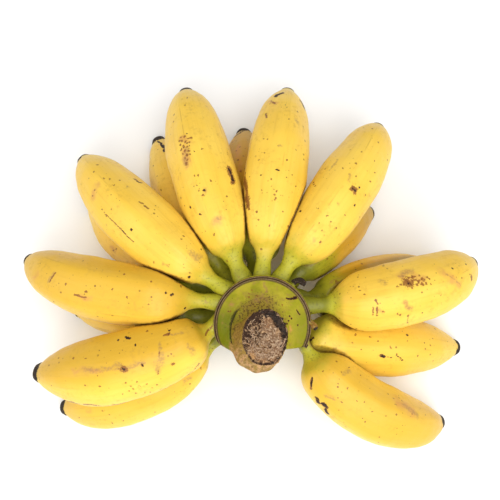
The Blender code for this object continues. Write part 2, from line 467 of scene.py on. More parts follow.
class Finish:
    """A material's node tree, with short ways to add the nodes that these finishes need."""

    def __init__(self, name: str, roughness: float, gloss: float = 0.5) -> None:
        """Starts a material with a Principled BSDF.

        Args:
            name: the material's name.
            roughness: how matt it is where nothing else says so.
            gloss: its specular level.
        """
        self.material = bpy.data.materials.new(name)
        self.material.use_nodes = True
        self.tree = self.material.node_tree
        self.shader = self.tree.nodes["Principled BSDF"]
        self.shader.inputs["Roughness"].default_value = roughness
        self.shader.inputs["Specular IOR Level"].default_value = gloss
        self.shader.inputs["Metallic"].default_value = 0.0
        self.place = self.add("ShaderNodeTexCoord").outputs["Object"]

    def add(self, kind: str, **settings: object) -> bpy.types.Node:
        """A new node with some settings."""
        node = self.tree.nodes.new(kind)
        for name, value in settings.items():
            setattr(node, name, value)
        return node

    def feed(self, socket: Socket, value: Socket | float | Colour) -> None:
        """Links a socket to another one, or sets it to a plain value."""
        if isinstance(value, bpy.types.NodeSocket):
            self.tree.links.new(value, socket)
        elif isinstance(value, tuple) and socket.type == "RGBA":
            socket.default_value = (*value, 1.0)
        else:
            socket.default_value = value

    def reading(self, name: str, triple: bool = False) -> Socket:
        """The value of one of the mesh's fields."""
        node = self.add("ShaderNodeAttribute", attribute_name=name)
        return node.outputs["Vector" if triple else "Fac"]

    def noise(
        self, scale: float, detail: float = 3.0, at: Socket | None = None,
        stretch: Colour | None = None, distortion: float = 0.0, rough: float = 0.55,
    ) -> Socket:
        """A noise value.

        Args:
            scale: its frequency, per metre.
            detail: how many finer layers it has.
            at: where it is read, or the object's own place.
            stretch: factors on the three axes.
            distortion: how much it swirls.
            rough: how strong the finer layers are.

        Returns:
            The value, between about 0.25 and 0.75.
        """
        node = self.add("ShaderNodeTexNoise")
        where = at or self.place
        if stretch:
            mapping = self.add("ShaderNodeMapping")
            mapping.inputs["Scale"].default_value = stretch
            self.feed(mapping.inputs["Vector"], where)
            where = mapping.outputs[0]
        self.feed(node.inputs["Vector"], where)
        node.inputs["Scale"].default_value = scale
        node.inputs["Detail"].default_value = detail
        node.inputs["Roughness"].default_value = rough
        node.inputs["Distortion"].default_value = distortion
        return node.outputs["Fac"]

    def sums(self, operation: str, first: Socket | float, second: Socket | float = 0.0) -> Socket:
        """The result of a Math node."""
        node = self.add("ShaderNodeMath", operation=operation)
        self.feed(node.inputs[0], first)
        self.feed(node.inputs[1], second)
        return node.outputs[0]

    def times(self, first: Socket | float, second: Socket | float) -> Socket:
        """Two values multiplied."""
        return self.sums("MULTIPLY", first, second)

    def plus(self, total: Socket | float, *others: Socket | float) -> Socket:
        """Values added up."""
        for other in others:
            total = self.sums("ADD", total, other)
        return total

    def between(
        self, value: Socket, low: float, high: float, start: float = 0.0, end: float = 1.0
    ) -> Socket:
        """A value moved smoothly from one range to another.

        Args:
            value: what is read.
            low: the value that gives start.
            high: the value that gives end.
            start: the lowest result.
            end: the highest result.

        Returns:
            The new value.
        """
        node = self.add("ShaderNodeMapRange", interpolation_type="SMOOTHSTEP")
        for socket, given in zip(node.inputs, (value, low, high, start, end)):
            self.feed(socket, given)
        return node.outputs[0]

    def mix(
        self, share: Socket | float, first: Socket | Colour, second: Socket | Colour,
        way: str = "MIX",
    ) -> Socket:
        """Two colours mixed.

        Args:
            share: how much of the second.
            first: the first colour.
            second: the second colour.
            way: how the second is laid on.

        Returns:
            The mixed colour.
        """
        node = self.add("ShaderNodeMix", data_type="RGBA", blend_type=way)
        self.feed(node.inputs["Factor"], share)
        self.feed(node.inputs[6], first)
        self.feed(node.inputs[7], second)
        return node.outputs[2]

    def laid(
        self, under: Socket | Colour, ink: Colour, value: Socket, low: float, high: float,
        most: float = 1.0,
    ) -> Socket:
        """A colour laid over another, the more the farther a value has come from low to high.

        Args:
            under: what it's laid on.
            ink: the colour that is laid on it.
            value: what is read.
            low: the value where the ink starts.
            high: the value where there's most of it.
            most: the share of ink there.

        Returns:
            The new colour.
        """
        return self.mix(self.between(value, low, high, 0.0, most), under, ink)

    def ragged(self, value: Socket, by: Socket, low: float, high: float, most: float) -> Socket:
        """A value pushed up and down by a noise.

        Args:
            value: what is read.
            by: the noise.
            low: the noise that pushes it down most.
            high: the noise that pushes it up most.
            most: how far that is.

        Returns:
            The new value.
        """
        return self.plus(value, self.between(by, low, high, -most, most))

    def specks(self, scale: float, size: float, share: float) -> Socket:
        """Scattered round specks.

        Args:
            scale: how many cells there are in a metre.
            size: a speck's radius against its cell.
            share: the part of the cells that has one.

        Returns:
            1 in a speck, and 0 elsewhere.
        """
        node = self.add("ShaderNodeTexVoronoi")
        self.feed(node.inputs["Vector"], self.place)
        node.inputs["Scale"].default_value = scale
        split = self.add("ShaderNodeSeparateColor")
        self.feed(split.inputs[0], node.outputs["Color"])
        chosen = self.sums("GREATER_THAN", split.outputs[0], 1 - share)
        radius = self.times(split.outputs[1], size)
        gap = self.sums("DIVIDE", node.outputs["Distance"], radius)
        dot = self.between(gap, 1.0, 0.6)
        return self.times(dot, chosen)

    def done(
        self, colour: Socket, height: Socket, depth: float, strength: float = 1.0,
        roughness: Socket | None = None,
    ) -> bpy.types.Material:
        """Feeds the shader and gives the finished material.

        Args:
            colour: the surface's colour.
            height: its relief, between 0 and 1.
            depth: what 1 of relief is in metres.
            strength: how much of the relief shows.
            roughness: how matt it is, where that changes.

        Returns:
            The material.
        """
        self.feed(self.shader.inputs["Base Color"], colour)
        if roughness:
            self.feed(self.shader.inputs["Roughness"], roughness)
        bump = self.add("ShaderNodeBump")
        bump.inputs["Strength"].default_value = strength
        bump.inputs["Distance"].default_value = depth
        self.feed(bump.inputs["Height"], height)
        self.feed(self.shader.inputs["Normal"], bump.outputs[0])
        return self.material


RELIEF_DEPTH = 0.00022


@dataclass(frozen=True)
class BlemishInks:
    """The colours of the blemishes, laid over any peel or rind."""

    fleck: Colour = (0.026, 0.010, 0.004)
    rust: Colour = (0.230, 0.078, 0.014)
    rust_core: Colour = (0.120, 0.036, 0.008)
    scuff: Colour = (0.330, 0.180, 0.060)
    blush: Colour = (0.600, 0.270, 0.070)

    def lay(self, finish: Finish, colour: Socket) -> tuple[Socket, Socket]:
        """Lays the four kinds of blemish over a colour.

        Args:
            finish: the material that gets them.
            colour: what they're laid on.

        Returns:
            The new colour, and how much of a dark scab each place has.
        """
        speckle, soft = finish.noise(900, 3.0), finish.noise(260, 2.0)
        blush = finish.times(finish.reading("blush"), finish.between(soft, 0.3, 0.7, 0.6, 1.4))
        colour = finish.laid(colour, self.blush, blush, 0.1, 1.0, 0.62)
        faint = finish.times(finish.reading("scuff"), finish.between(speckle, 0.30, 0.70, 0.55, 1.4))
        colour = finish.laid(colour, self.scuff, faint, 0.15, 1.05, 0.62)
        shift = finish.between(finish.noise(1500, 2.0), 0.25, 0.75, -0.24, 0.24)
        rust = finish.plus(finish.reading("rust"), shift)
        colour = finish.laid(colour, self.rust, rust, 0.22, 0.54, 0.88)
        colour = finish.laid(colour, self.rust_core, rust, 0.72, 0.98, 0.85)
        crisp = finish.plus(finish.reading("fleck"), finish.times(shift, 0.7))
        colour = finish.laid(colour, self.rust, crisp, 0.24, 0.44, 0.8)
        scab = finish.between(crisp, 0.40, 0.54)
        return finish.mix(scab, colour, self.fleck), scab


@dataclass(frozen=True)
class PeelFinish:
    """Ripe yellow peel with soft streaks, freckles, a green neck and a dry black flower end."""

    lemon: Colour = (0.870, 0.590, 0.085)
    golden: Colour = (0.790, 0.482, 0.040)
    # the deeper golds of painted shade on one side of a finger
    painted_shade_gold: Colour = (0.620, 0.350, 0.020)
    painted_deep_shade_gold: Colour = (0.400, 0.230, 0.012)
    ridge: Colour = (0.500, 0.280, 0.034)
    # brown of rub marks, also laid as painted shade in the creases between fingers
    rubbed_and_crease_shade: Colour = (0.170, 0.065, 0.010)
    green: Colour = (0.420, 0.390, 0.022)
    # olive of painted shade, laid on necks that are meant to look shaded
    painted_neck_shade_green: Colour = (0.190, 0.190, 0.010)
    moss: Colour = (0.110, 0.100, 0.012)
    dry: Colour = (0.024, 0.013, 0.008)
    ash: Colour = (0.120, 0.080, 0.050)
    freckle: Colour = (0.230, 0.105, 0.014)
    speck: Colour = (0.080, 0.030, 0.008)

    def ripe(self, finish: Finish, skin: Socket, streaks: Socket, mottle: Socket) -> Socket:
        """The yellow of the body.

        Args:
            finish: the material that gets it.
            skin: the place on the unbent finger.
            streaks: fine streaks along the finger.
            mottle: fine mottling.

        Returns:
            The colour, streaked along the finger, in the deeper gold of painted shade on one side and worn
            on the ribs.
        """
        colour = finish.laid(self.lemon, self.golden, finish.noise(30, 2.0), 0.34, 0.68, 0.55)
        broad = finish.noise(150, 3.0, at=skin, stretch=(1.0, 1.0, 0.10))
        colour = finish.laid(colour, self.golden, broad, 0.38, 0.68, 0.34)
        colour = finish.laid(colour, self.ridge, streaks, 0.48, 0.78, 0.22)
        # Painted shade: one side of the finger is laid in deeper gold.
        tone = finish.reading("tone")
        colour = finish.mix(tone, colour, self.painted_shade_gold)
        colour = finish.laid(colour, self.painted_deep_shade_gold, tone, 1.0, 2.0)
        clouds = finish.between(finish.noise(75, 3.0), 0.44, 0.66)
        # Random dull mottling, the peel's own colour.
        dullness_and_painted_shade = finish.times(finish.between(mottle, 0.46, 0.76), clouds)
        colour = finish.mix(finish.times(dullness_and_painted_shade, 0.5), colour, self.ridge)
        worn = finish.between(finish.noise(70, 3.0), 0.42, 0.62)
        return finish.laid(colour, self.ridge, finish.times(finish.reading("crest"), worn), 0.2, 1.0, 0.6)

    def necked(self, finish: Finish, colour: Socket, mottle: Socket) -> Socket:
        """Lays the neck's green and its painted olive shade, then rub marks and painted crease shade.

        Args:
            finish: the material that gets them.
            colour: the peel's yellow.
            mottle: fine mottling.

        Returns:
            The new colour.
        """
        edge = finish.ragged(finish.reading("green"), finish.noise(120, 3.0), 0.25, 0.75, 0.12)
        # Painted shade: where the green field rises past 0.75, as on the lower row's necks, the neck turns
        # dull olive.
        neck = finish.laid(self.green, self.painted_neck_shade_green, edge, 0.75, 1.30)
        colour = finish.mix(finish.between(edge, 0.05, 0.80), colour, neck)
        tufts = finish.between(finish.noise(850, 2.0), 0.56, 0.68)
        moss = finish.times(finish.between(edge, 0.25, 0.75), tufts)
        colour = finish.mix(finish.times(moss, 0.55), colour, self.moss)
        # Brown where a neighbour comes close: rub marks, and painted shade in the crease.
        rubbing_and_crease_shade = finish.ragged(finish.reading("rub_and_crease_shade"), mottle, 0.3, 0.7, 0.15)
        return finish.laid(colour, self.rubbed_and_crease_shade, rubbing_and_crease_shade, 0.30, 1.0, 0.88)

    def freckled(self, finish: Finish, colour: Socket) -> Socket:
        """Lays the freckles and specks on the peel, thicker in some places."""
        thick = finish.between(finish.noise(55, 2.0), 0.40, 0.60, 0.25, 1.0)
        for scale, size, share, most in ((620, 0.30, 0.22, 0.7), (330, 0.28, 0.28, 0.85)):
            dots = finish.times(finish.specks(scale, size, share), finish.times(thick, most))
            colour = finish.mix(dots, colour, self.freckle)
        return finish.mix(finish.times(finish.specks(150, 0.11, 0.22), 0.9), colour, self.speck)

    def build(self) -> bpy.types.Material:
        """Makes the material."""
        finish = Finish("ripe_peel", 0.40, 0.34)
        skin = finish.reading("skin", triple=True)
        streaks = finish.noise(560, 3.0, at=skin, stretch=(1.0, 1.0, 0.06))
        mottle = finish.noise(420, 4.0)
        colour = self.ripe(finish, skin, streaks, mottle)
        colour = self.freckled(finish, self.necked(finish, colour, mottle))
        colour, scab = BlemishInks().lay(finish, colour)

        crumbs = finish.noise(1100, 4.0)
        torn = finish.ragged(finish.reading("dry"), crumbs, 0.25, 0.75, 0.25)
        dead = finish.between(torn, 0.42, 0.62)
        colour = finish.mix(dead, colour, finish.laid(self.dry, self.ash, crumbs, 0.53, 0.72))

        relief = finish.plus(
            finish.times(finish.noise(2400, 2.0), 0.35), finish.times(streaks, 0.8),
            finish.times(scab, 0.5), finish.times(finish.times(crumbs, dead), 6.0),
        )
        matt = finish.plus(
            finish.between(mottle, 0.3, 0.7, 0.32, 0.45), finish.times(dead, 0.4), finish.times(scab, 0.25)
        )
        return finish.done(colour, relief, RELIEF_DEPTH, 0.9, matt)


@dataclass(frozen=True)
class RindFinish:
    """The crown's green rind, its scar ring, its bark and its brown cut."""

    green: Colour = (0.265, 0.255, 0.008)
    yellow_green: Colour = (0.430, 0.360, 0.026)
    # dark green of painted shade on the cushion
    painted_rind_shade_green: Colour = (0.150, 0.165, 0.004)
    stained: Colour = (0.270, 0.185, 0.024)
    scar: Colour = (0.034, 0.020, 0.008)
    scar_pale: Colour = (0.215, 0.140, 0.060)
    bark: Colour = (0.290, 0.180, 0.045)
    bark_tan: Colour = (0.520, 0.300, 0.130)
    bark_olive: Colour = (0.300, 0.185, 0.028)
    bark_dark: Colour = (0.075, 0.040, 0.014)
    cut: Colour = (0.270, 0.140, 0.068)
    cut_pale: Colour = (0.560, 0.360, 0.195)
    cut_warm: Colour = (0.600, 0.320, 0.115)
    cut_dark: Colour = (0.034, 0.016, 0.010)
    # near-black of painted shade in the fold beside the stalk
    painted_crease_shade: Colour = (0.022, 0.017, 0.004)

    def rind(self, finish: Finish, fine: Socket, cloud: Socket) -> Socket:
        """The cushion's green with painted shade at the sides, stained and flecked round the stalk.

        Args:
            finish: the material that gets it.
            fine: fine noise.
            cloud: broader noise.

        Returns:
            The colour.
        """
        patches = finish.noise(95, 3.0)
        colour = finish.laid(self.green, self.yellow_green, patches, 0.36, 0.64)
        # Painted shade: darker on the cushion's left and a little on its right.
        deep = finish.ragged(finish.reading("deep"), patches, 0.3, 0.7, 0.15)
        colour = finish.laid(colour, self.painted_rind_shade_green, deep, 0.0, 0.9)
        colour = finish.laid(colour, self.bark, cloud, 0.5, 0.75, 0.5)
        collar = finish.reading("collar")
        stain = finish.ragged(collar, cloud, 0.3, 0.7, 0.25)
        colour = finish.laid(colour, self.stained, stain, 0.05, 0.95, 0.85)
        crumbs = finish.times(collar, finish.between(fine, 0.50, 0.60))
        colour = finish.laid(colour, self.bark_dark, crumbs, 0.1, 0.7, 0.72)
        for scale, size, share, most in ((520, 0.26, 0.24, 0.65), (260, 0.12, 0.25, 0.8)):
            dots = finish.times(finish.specks(scale, size, share), most)
            colour = finish.mix(dots, colour, self.bark_dark)
        return colour

    def stalk_bark(self, finish: Finish, strands: Socket, fine: Socket) -> Socket:
        """The stalk's bark, in strands along it."""
        bark = finish.laid(self.bark, self.bark_tan, strands, 0.40, 0.62)
        bark = finish.mix(finish.times(finish.reading("olive"), 0.85), bark, self.bark_olive)
        bark = finish.laid(bark, self.bark_dark, strands, 0.58, 0.72, 0.6)
        return finish.laid(bark, self.bark_dark, fine, 0.52, 0.66, 0.75)

    def cut_face(self, finish: Finish, fibres: Socket, cloud: Socket) -> Socket:
        """The brown fibrous cut, dark at its rim and warmer on one side."""
        face = finish.laid(self.cut, self.cut_pale, fibres, 0.44, 0.62)
        warm = finish.times(finish.reading("warm"), finish.between(cloud, 0.40, 0.62))
        face = finish.mix(finish.times(warm, 0.7), face, self.cut_warm)
        face = finish.laid(face, self.cut_dark, fibres, 0.45, 0.34, 0.8)
        shade = finish.plus(
            finish.reading("cut_darkening"), finish.between(fibres, 0.35, 0.65, 0.42, -0.42),
            finish.between(finish.noise(190, 3.0), 0.36, 0.64, -0.30, 0.30),
        )
        return finish.laid(face, self.cut_dark, shade, 0.30, 0.95, 0.95)

    def ringed(self, finish: Finish, colour: Socket) -> Socket:
        """Lays the double scar ring and the gutter inside it on the rind."""
        knots = finish.noise(1300, 3.0)
        scar = finish.laid(self.scar, self.scar_pale, finish.reading("ridge"), 0.35, 0.8)
        scar = finish.laid(scar, self.bark_dark, knots, 0.48, 0.66, 0.7)
        ring = finish.ragged(finish.reading("ringed"), knots, 0.3, 0.7, 0.15)
        colour = finish.mix(finish.between(ring, 0.30, 0.55), colour, scar)
        return finish.laid(colour, self.bark_dark, finish.reading("gutter"), 0.40, 0.75, 0.6)

    def build(self) -> bpy.types.Material:
        """Makes the material."""
        finish = Finish("crown_rind", 0.5, 0.14)
        skin = finish.reading("skin", triple=True)
        fine, cloud = finish.noise(900, 3.0), finish.noise(300, 3.0)
        strands = finish.noise(520, 4.0, at=skin, stretch=(1.0, 1.0, 0.22), distortion=0.3)
        fibres = finish.noise(420, 6.0, distortion=1.6, rough=0.72)
        barky, is_cut = finish.reading("bark"), finish.reading("cut")

        edge = finish.between(finish.ragged(barky, cloud, 0.3, 0.7, 0.3), 0.30, 0.80)
        colour = finish.mix(edge, self.rind(finish, fine, cloud), self.stalk_bark(finish, strands, fine))
        face = self.cut_face(finish, fibres, cloud)
        colour = self.ringed(finish, finish.mix(finish.between(is_cut, 0.45, 0.55), colour, face))
        colour, scab = BlemishInks().lay(finish, colour)
        # Painted shade in the fold beside the stalk.
        fold = finish.ragged(finish.reading("painted_crease_shade"), fine, 0.3, 0.7, 0.12)
        colour = finish.laid(colour, self.painted_crease_shade, fold, 0.35, 0.80, 0.85)

        relief = finish.plus(
            finish.times(finish.times(fibres, is_cut), 7.0), finish.times(fine, 0.7),
            finish.times(finish.times(strands, barky), 2.5), finish.times(scab, 0.4),
        )
        return finish.done(colour, relief, RELIEF_DEPTH, 1.0, finish.plus(0.46, finish.times(barky, 0.3)))


@dataclass(frozen=True)
class FibreFinish:
    """Torn dry fibres and crumbs, in one of two tones."""

    name: str
    light: Colour
    dark: Colour

    def build(self) -> bpy.types.Material:
        """Makes the material."""
        finish = Finish(self.name, 0.85, 0.2)
        tone = finish.noise(900, 3.0)
        colour = finish.mix(finish.between(tone, 0.36, 0.64), self.light, self.dark)
        return finish.done(colour, finish.noise(2600, 3.0), 0.0002, 0.8)


@dataclass(frozen=True)
class FloorFinish:
    """A plain pale studio floor."""

    pale: Colour = (0.90, 0.90, 0.90)
    paler: Colour = (0.93, 0.93, 0.92)

    def build(self) -> bpy.types.Material:
        """Makes the material."""
        finish = Finish("pale_floor", 0.8, 0.2)
        colour = finish.mix(finish.between(finish.noise(3, 2.0), 0.4, 0.6), self.pale, self.paler)
        return finish.done(colour, finish.noise(40, 2.0), 0.0002, 0.2)


# Fingers ------------------------------------------------------------------------------------------

# A finger's outline, as in the solid part: share of its length, and of its full half girth.
OUTLINE = (
    (0.000, 0.360), (0.070, 0.285), (0.130, 0.235), (0.175, 0.315), (0.225, 0.560), (0.290, 0.780),
    (0.380, 0.930), (0.490, 1.000), (0.620, 1.000), (0.740, 0.925), (0.820, 0.800), (0.885, 0.630),
    (0.935, 0.470), (0.970, 0.335), (0.988, 0.278), (1.000, 0.255),
)
NECK_REACH = 0.225
ROOT_RADIUS = 0.0200
LINE_POINTS = 61
END_RINGS = 9
END_HOLE = 0.04  # what is left open of the dry end, against its radius
CROWDING = 0.4  # how much closer together the points stand on top of a finger
END_GRAIN = 0.0022
RIM_AT, RIM_WIDTH = 0.985, 0.006  # shares of the length
GREEN_REACH = 0.30  # the share of the length where the neck's green ends
TIP_GREEN = 0.30
DRY_REACH = (0.0008, 0.0026)  # all dry, and no longer dry, from the tip
SKIN_RADIUS = 0.018  # of the straight finger that streaks are laid out on
FLOOR_GAP = 0.0002
RUB_AND_CREASE_SHADE_REACH = 0.0026  # how near a neighbour comes where the peel turns brown: rub marks and painted crease shade
NECK_PAINTED_SHADE = {Row.UPPER: 1.0, Row.LOWER: 1.45}  # painted shade on each row's necks, deeper on the lower row, which lies under the upper


@dataclass
class Finger:
    """One banana: how it grows, as in the solid part, and what its peel shows."""

    name: str
    row: Row
    bearing: float  # of its root, round the stalk's middle
    heading: float  # which way it sets off
    hook: float  # how far it turns in its first third
    turn: float  # how far it turns from root to tip
    rise: float  # how steeply it climbs at the root
    dip: float  # how far it bends down from root to tip
    length: float
    girth: float
    roll: float  # of the ribs, round its middle
    neck: float = 1.0  # how long the neck is, against the usual
    green: float = 1.0  # how far the green of the neck reaches, against the usual
    dry: float = 1.0  # how far the dry end reaches, against the usual
    tone: float = 0.1  # how much painted shade, in deep gold, lies on one side
    painted_shade_way: float = 90.0  # which side the painted shade lies on, from its own side direction over its top
    stout: float = 1.0  # how thick the neck is, against the usual
    dullness_and_painted_shade: float = 1.0  # how dull the neck's green is, against the usual: it scales the painted shade on the neck
    lift: float = 0.0  # how far the root's end of the neck is raised
    blunt: float = 0.0  # how much fuller the end is, against the usual
    full: float = 0.0  # how much fuller the start of the body is
    ribs: int = 5
    rib_depth: float = 0.030
    rib_edge: float = 0.55  # how much of a rib is its narrow crest
    swell: float = 0.00035
    swell_length: float = 0.045
    waver: float = 0.00010
    waver_length: float = 0.009
    rim: float = 0.05  # how far the dry end's rim stands out, against the radius
    pucker: float = 0.0009
    sunk: float = 0.0006  # how far the middle of the dry end lies back
    touch_gap: float = 0.00012
    press_steps: int = 12

    def centre_line(self) -> tuple[Array, Array, Array]:
        """The finger's middle from root to tip.

        Returns:
            Its points, and the side and up directions there.
        """
        share = np.linspace(0, 1, LINE_POINTS)
        heading = np.radians(self.heading + self.hook * fade(share, 0, 1 / 3) + self.turn * share)
        pitch = np.radians(self.rise - self.dip * share)
        ahead, side = ahead_and_side(heading, pitch)
        steps = (ahead[:-1] + ahead[1:]) / 2 * self.length / (LINE_POINTS - 1)
        root = root_place(ROOT_RADIUS, self.bearing, self.row.value)
        points = np.vstack((np.zeros(3), np.cumsum(steps, axis=0))) + root
        points[:, 2] += self.lift * (1 - fade(share, 0.12, 0.45))
        return points, side, np.cross(ahead, side)

    def half_girth(self, share: Array) -> Array:
        """The finger's radius at each share of its length."""
        usual, moved = (0, NECK_REACH, 1), (0, NECK_REACH * self.neck, 1)
        stations = np.interp([s for s, _ in OUTLINE], usual, moved)
        thicker = 1 + (self.stout - 1) * (1 - fade(share, 0.10, 0.32))
        thicker = thicker + self.blunt * fade(share, 0.74, 0.93) * (1 - fade(share, 0.955, 0.99))
        body_start = share / self.neck
        shoulder = fade(body_start, 0.175, 0.25) * (1 - fade(body_start, 0.27, 0.42))
        thicker = thicker + self.full * shoulder
        return smooth_curve(stations, [r for _, r in OUTLINE], share) * thicker * self.girth / 2

    def skin_line(self) -> tuple[Array, Array]:
        """The middle's points and the radius there, as neighbours feel them."""
        return self.centre_line()[0], self.half_girth(np.linspace(0, 1, LINE_POINTS))

    def pressed(
        self, origins: Array, ways: Array, reach: Array, plain: Array, line: Array, radii: Array
    ) -> tuple[Array, Array]:
        """The reach of each skin point, cut short where a neighbour presses on it.

        Args:
            origins: points on the finger's middle.
            ways: unit directions from there to the skin.
            reach: how far the skin would be without neighbours.
            plain: the same without ribs.
            line: the points of every neighbour's middle.
            radii: the neighbours' radius there.

        Returns:
            The new reach of each point, and the room that it had before.
        """

        def room(which: Array, distance: Array) -> Array:
            """The room left before some of the skin points, at a distance from the middle."""
            there = (origins[which] + ways[which] * distance[:, None]).astype(np.float32)
            lengths = (there**2).sum(axis=1)[:, None] + (line**2).sum(axis=1)[None, :]
            gap = np.sqrt(np.maximum(lengths - 2 * there @ line.T, 0)) - radii[None, :]
            return gap.min(axis=1) - (distance - plain[which]) - self.touch_gap

        everyone = np.arange(len(reach))
        slack = room(everyone, reach)
        tight = everyone[slack < 0]
        low, high = np.zeros(len(tight)), reach[tight].copy()
        for _ in range(self.press_steps):
            middle = (low + high) / 2
            clear = room(tight, middle) >= 0
            low, high = np.where(clear, middle, low), np.where(clear, high, middle)
        result = reach.copy()
        result[tight] = low
        return result, slack

    def build(
        self, pattern: bpy.types.Mesh, rings: int, hand: list[Finger], finish: bpy.types.Material
    ) -> bpy.types.Object:
        """Grows the finger from a plain tube and dresses it.

        Args:
            pattern: a plain tube to copy.
            rings: the tube's rings.
            hand: every finger of the hand.
            finish: the peel.

        Returns:
            The finger's piece.
        """
        seed = sum(ord(c) * (k + 1) for k, c in enumerate(self.name))
        mesh = pattern.copy()
        mesh.name = self.name
        ring, angle = rings_and_angles(mesh, rings)
        share, shut = (values[ring] for values in closed_end(rings, END_RINGS, END_HOLE))
        points, side, up = self.centre_line()
        origins = read_along(points, share)
        # The points stand closer together on top, where the picture shows the peel.
        around = angle + math.pi / 2 - CROWDING * np.sin(angle)
        angle = around - math.radians(self.roll)
        ways = read_along(side, share) * np.cos(around)[:, None]
        ways += read_along(up, share) * np.sin(around)[:, None]
        ways /= np.linalg.norm(ways, axis=1)[:, None]
        plain = self.half_girth(share)
        body = fade(share, 0.15, 0.30) * (1 - fade(share, 0.86, 0.985))
        wave = np.abs(np.sin(self.ribs / 2 * angle))
        crest = 1 - 2 * np.sqrt(wave**2 + 0.010)
        profile = self.rib_edge * crest + (1 - self.rib_edge) * np.cos(self.ribs * angle)
        reach = plain * (1 + self.rib_depth * body * profile)
        smooth = origins + ways * plain[:, None]
        reach += self.swell * ripple(smooth, self.swell_length, seed) * body
        reach += self.waver * ripple(smooth, self.waver_length, seed + 1) * (1 - 0.4 * body)
        rim = np.exp(-(((share - RIM_AT) / RIM_WIDTH) ** 2)) * (shut > 0.99)
        reach *= 1 + self.rim * rim

        others = [finger.skin_line() for finger in hand if finger.name != self.name]
        line = np.vstack([one[0] for one in others]).astype(np.float32)
        radii = np.concatenate([one[1] for one in others]).astype(np.float32)
        reach, slack = self.pressed(origins, ways, reach, plain, line, radii)
        places = origins + ways * (reach * shut)[:, None]

        end = shut < 0.999
        forward = np.cross(side[-1], up[-1])
        forward = -forward if forward @ (points[-1] - points[-2]) < 0 else forward
        rough = grain(places[end], END_GRAIN)
        puckered = self.pucker * rough * (1 - shut[end] ** 4) - self.sunk * (1 - shut[end])
        places[end] += forward * puckered[:, None]
        places[:, 2] = np.maximum(places[:, 2], FLOOR_GAP)
        set_places(mesh, places)

        straight = np.stack((np.cos(angle), np.sin(angle), share * self.length / SKIN_RADIUS), axis=1)
        set_field(mesh, "skin", straight * SKIN_RADIUS)
        set_field(mesh, "crest", np.clip(1 - wave / 0.09, 0, 1) * body)
        tip_green = TIP_GREEN * fade(share, 0.90, 0.99)
        # Painted shade on the neck, deeper on the lower row, which lies under the upper one.
        shaded = self.dullness_and_painted_shade * NECK_PAINTED_SHADE[self.row]
        neck = shaded * (1 - fade(share, 0.02, GREEN_REACH * self.neck * self.green))
        set_field(mesh, "green", neck + tip_green)
        # Brown rub marks and painted crease shade where a neighbour comes within reach.
        rubbed_and_crease_shade = (1 - fade(slack, 0.0, RUB_AND_CREASE_SHADE_REACH)) * (0.55 + 0.45 * fade(share, 0.15, 0.32))
        set_field(mesh, "rub_and_crease_shade", rubbed_and_crease_shade)
        # Painted shade in deep gold on one side of the finger.
        turned_to = np.cos(around - math.radians(self.painted_shade_way))
        set_field(mesh, "tone", self.tone * fade(turned_to, 0.25, 0.85) + np.zeros_like(share))
        uneven = self.dry * (1 + 0.25 * ripple(places, 0.006, seed + 2))
        dryness = 1 - fade((1 - share) * self.length, DRY_REACH[0] * uneven, DRY_REACH[1] * uneven)
        set_field(mesh, "dry", np.where(end, 1.0, dryness))
        dress_with_marks(mesh, places, BLEMISHES.get(self.name, []), LENS)
        return add_piece(f"{self.name}_peel", mesh, finish, "peel", self.name)


FL, RU, SC, BL = Blemish.FLECK, Blemish.RUST, Blemish.SCUFF, Blemish.BLUSH
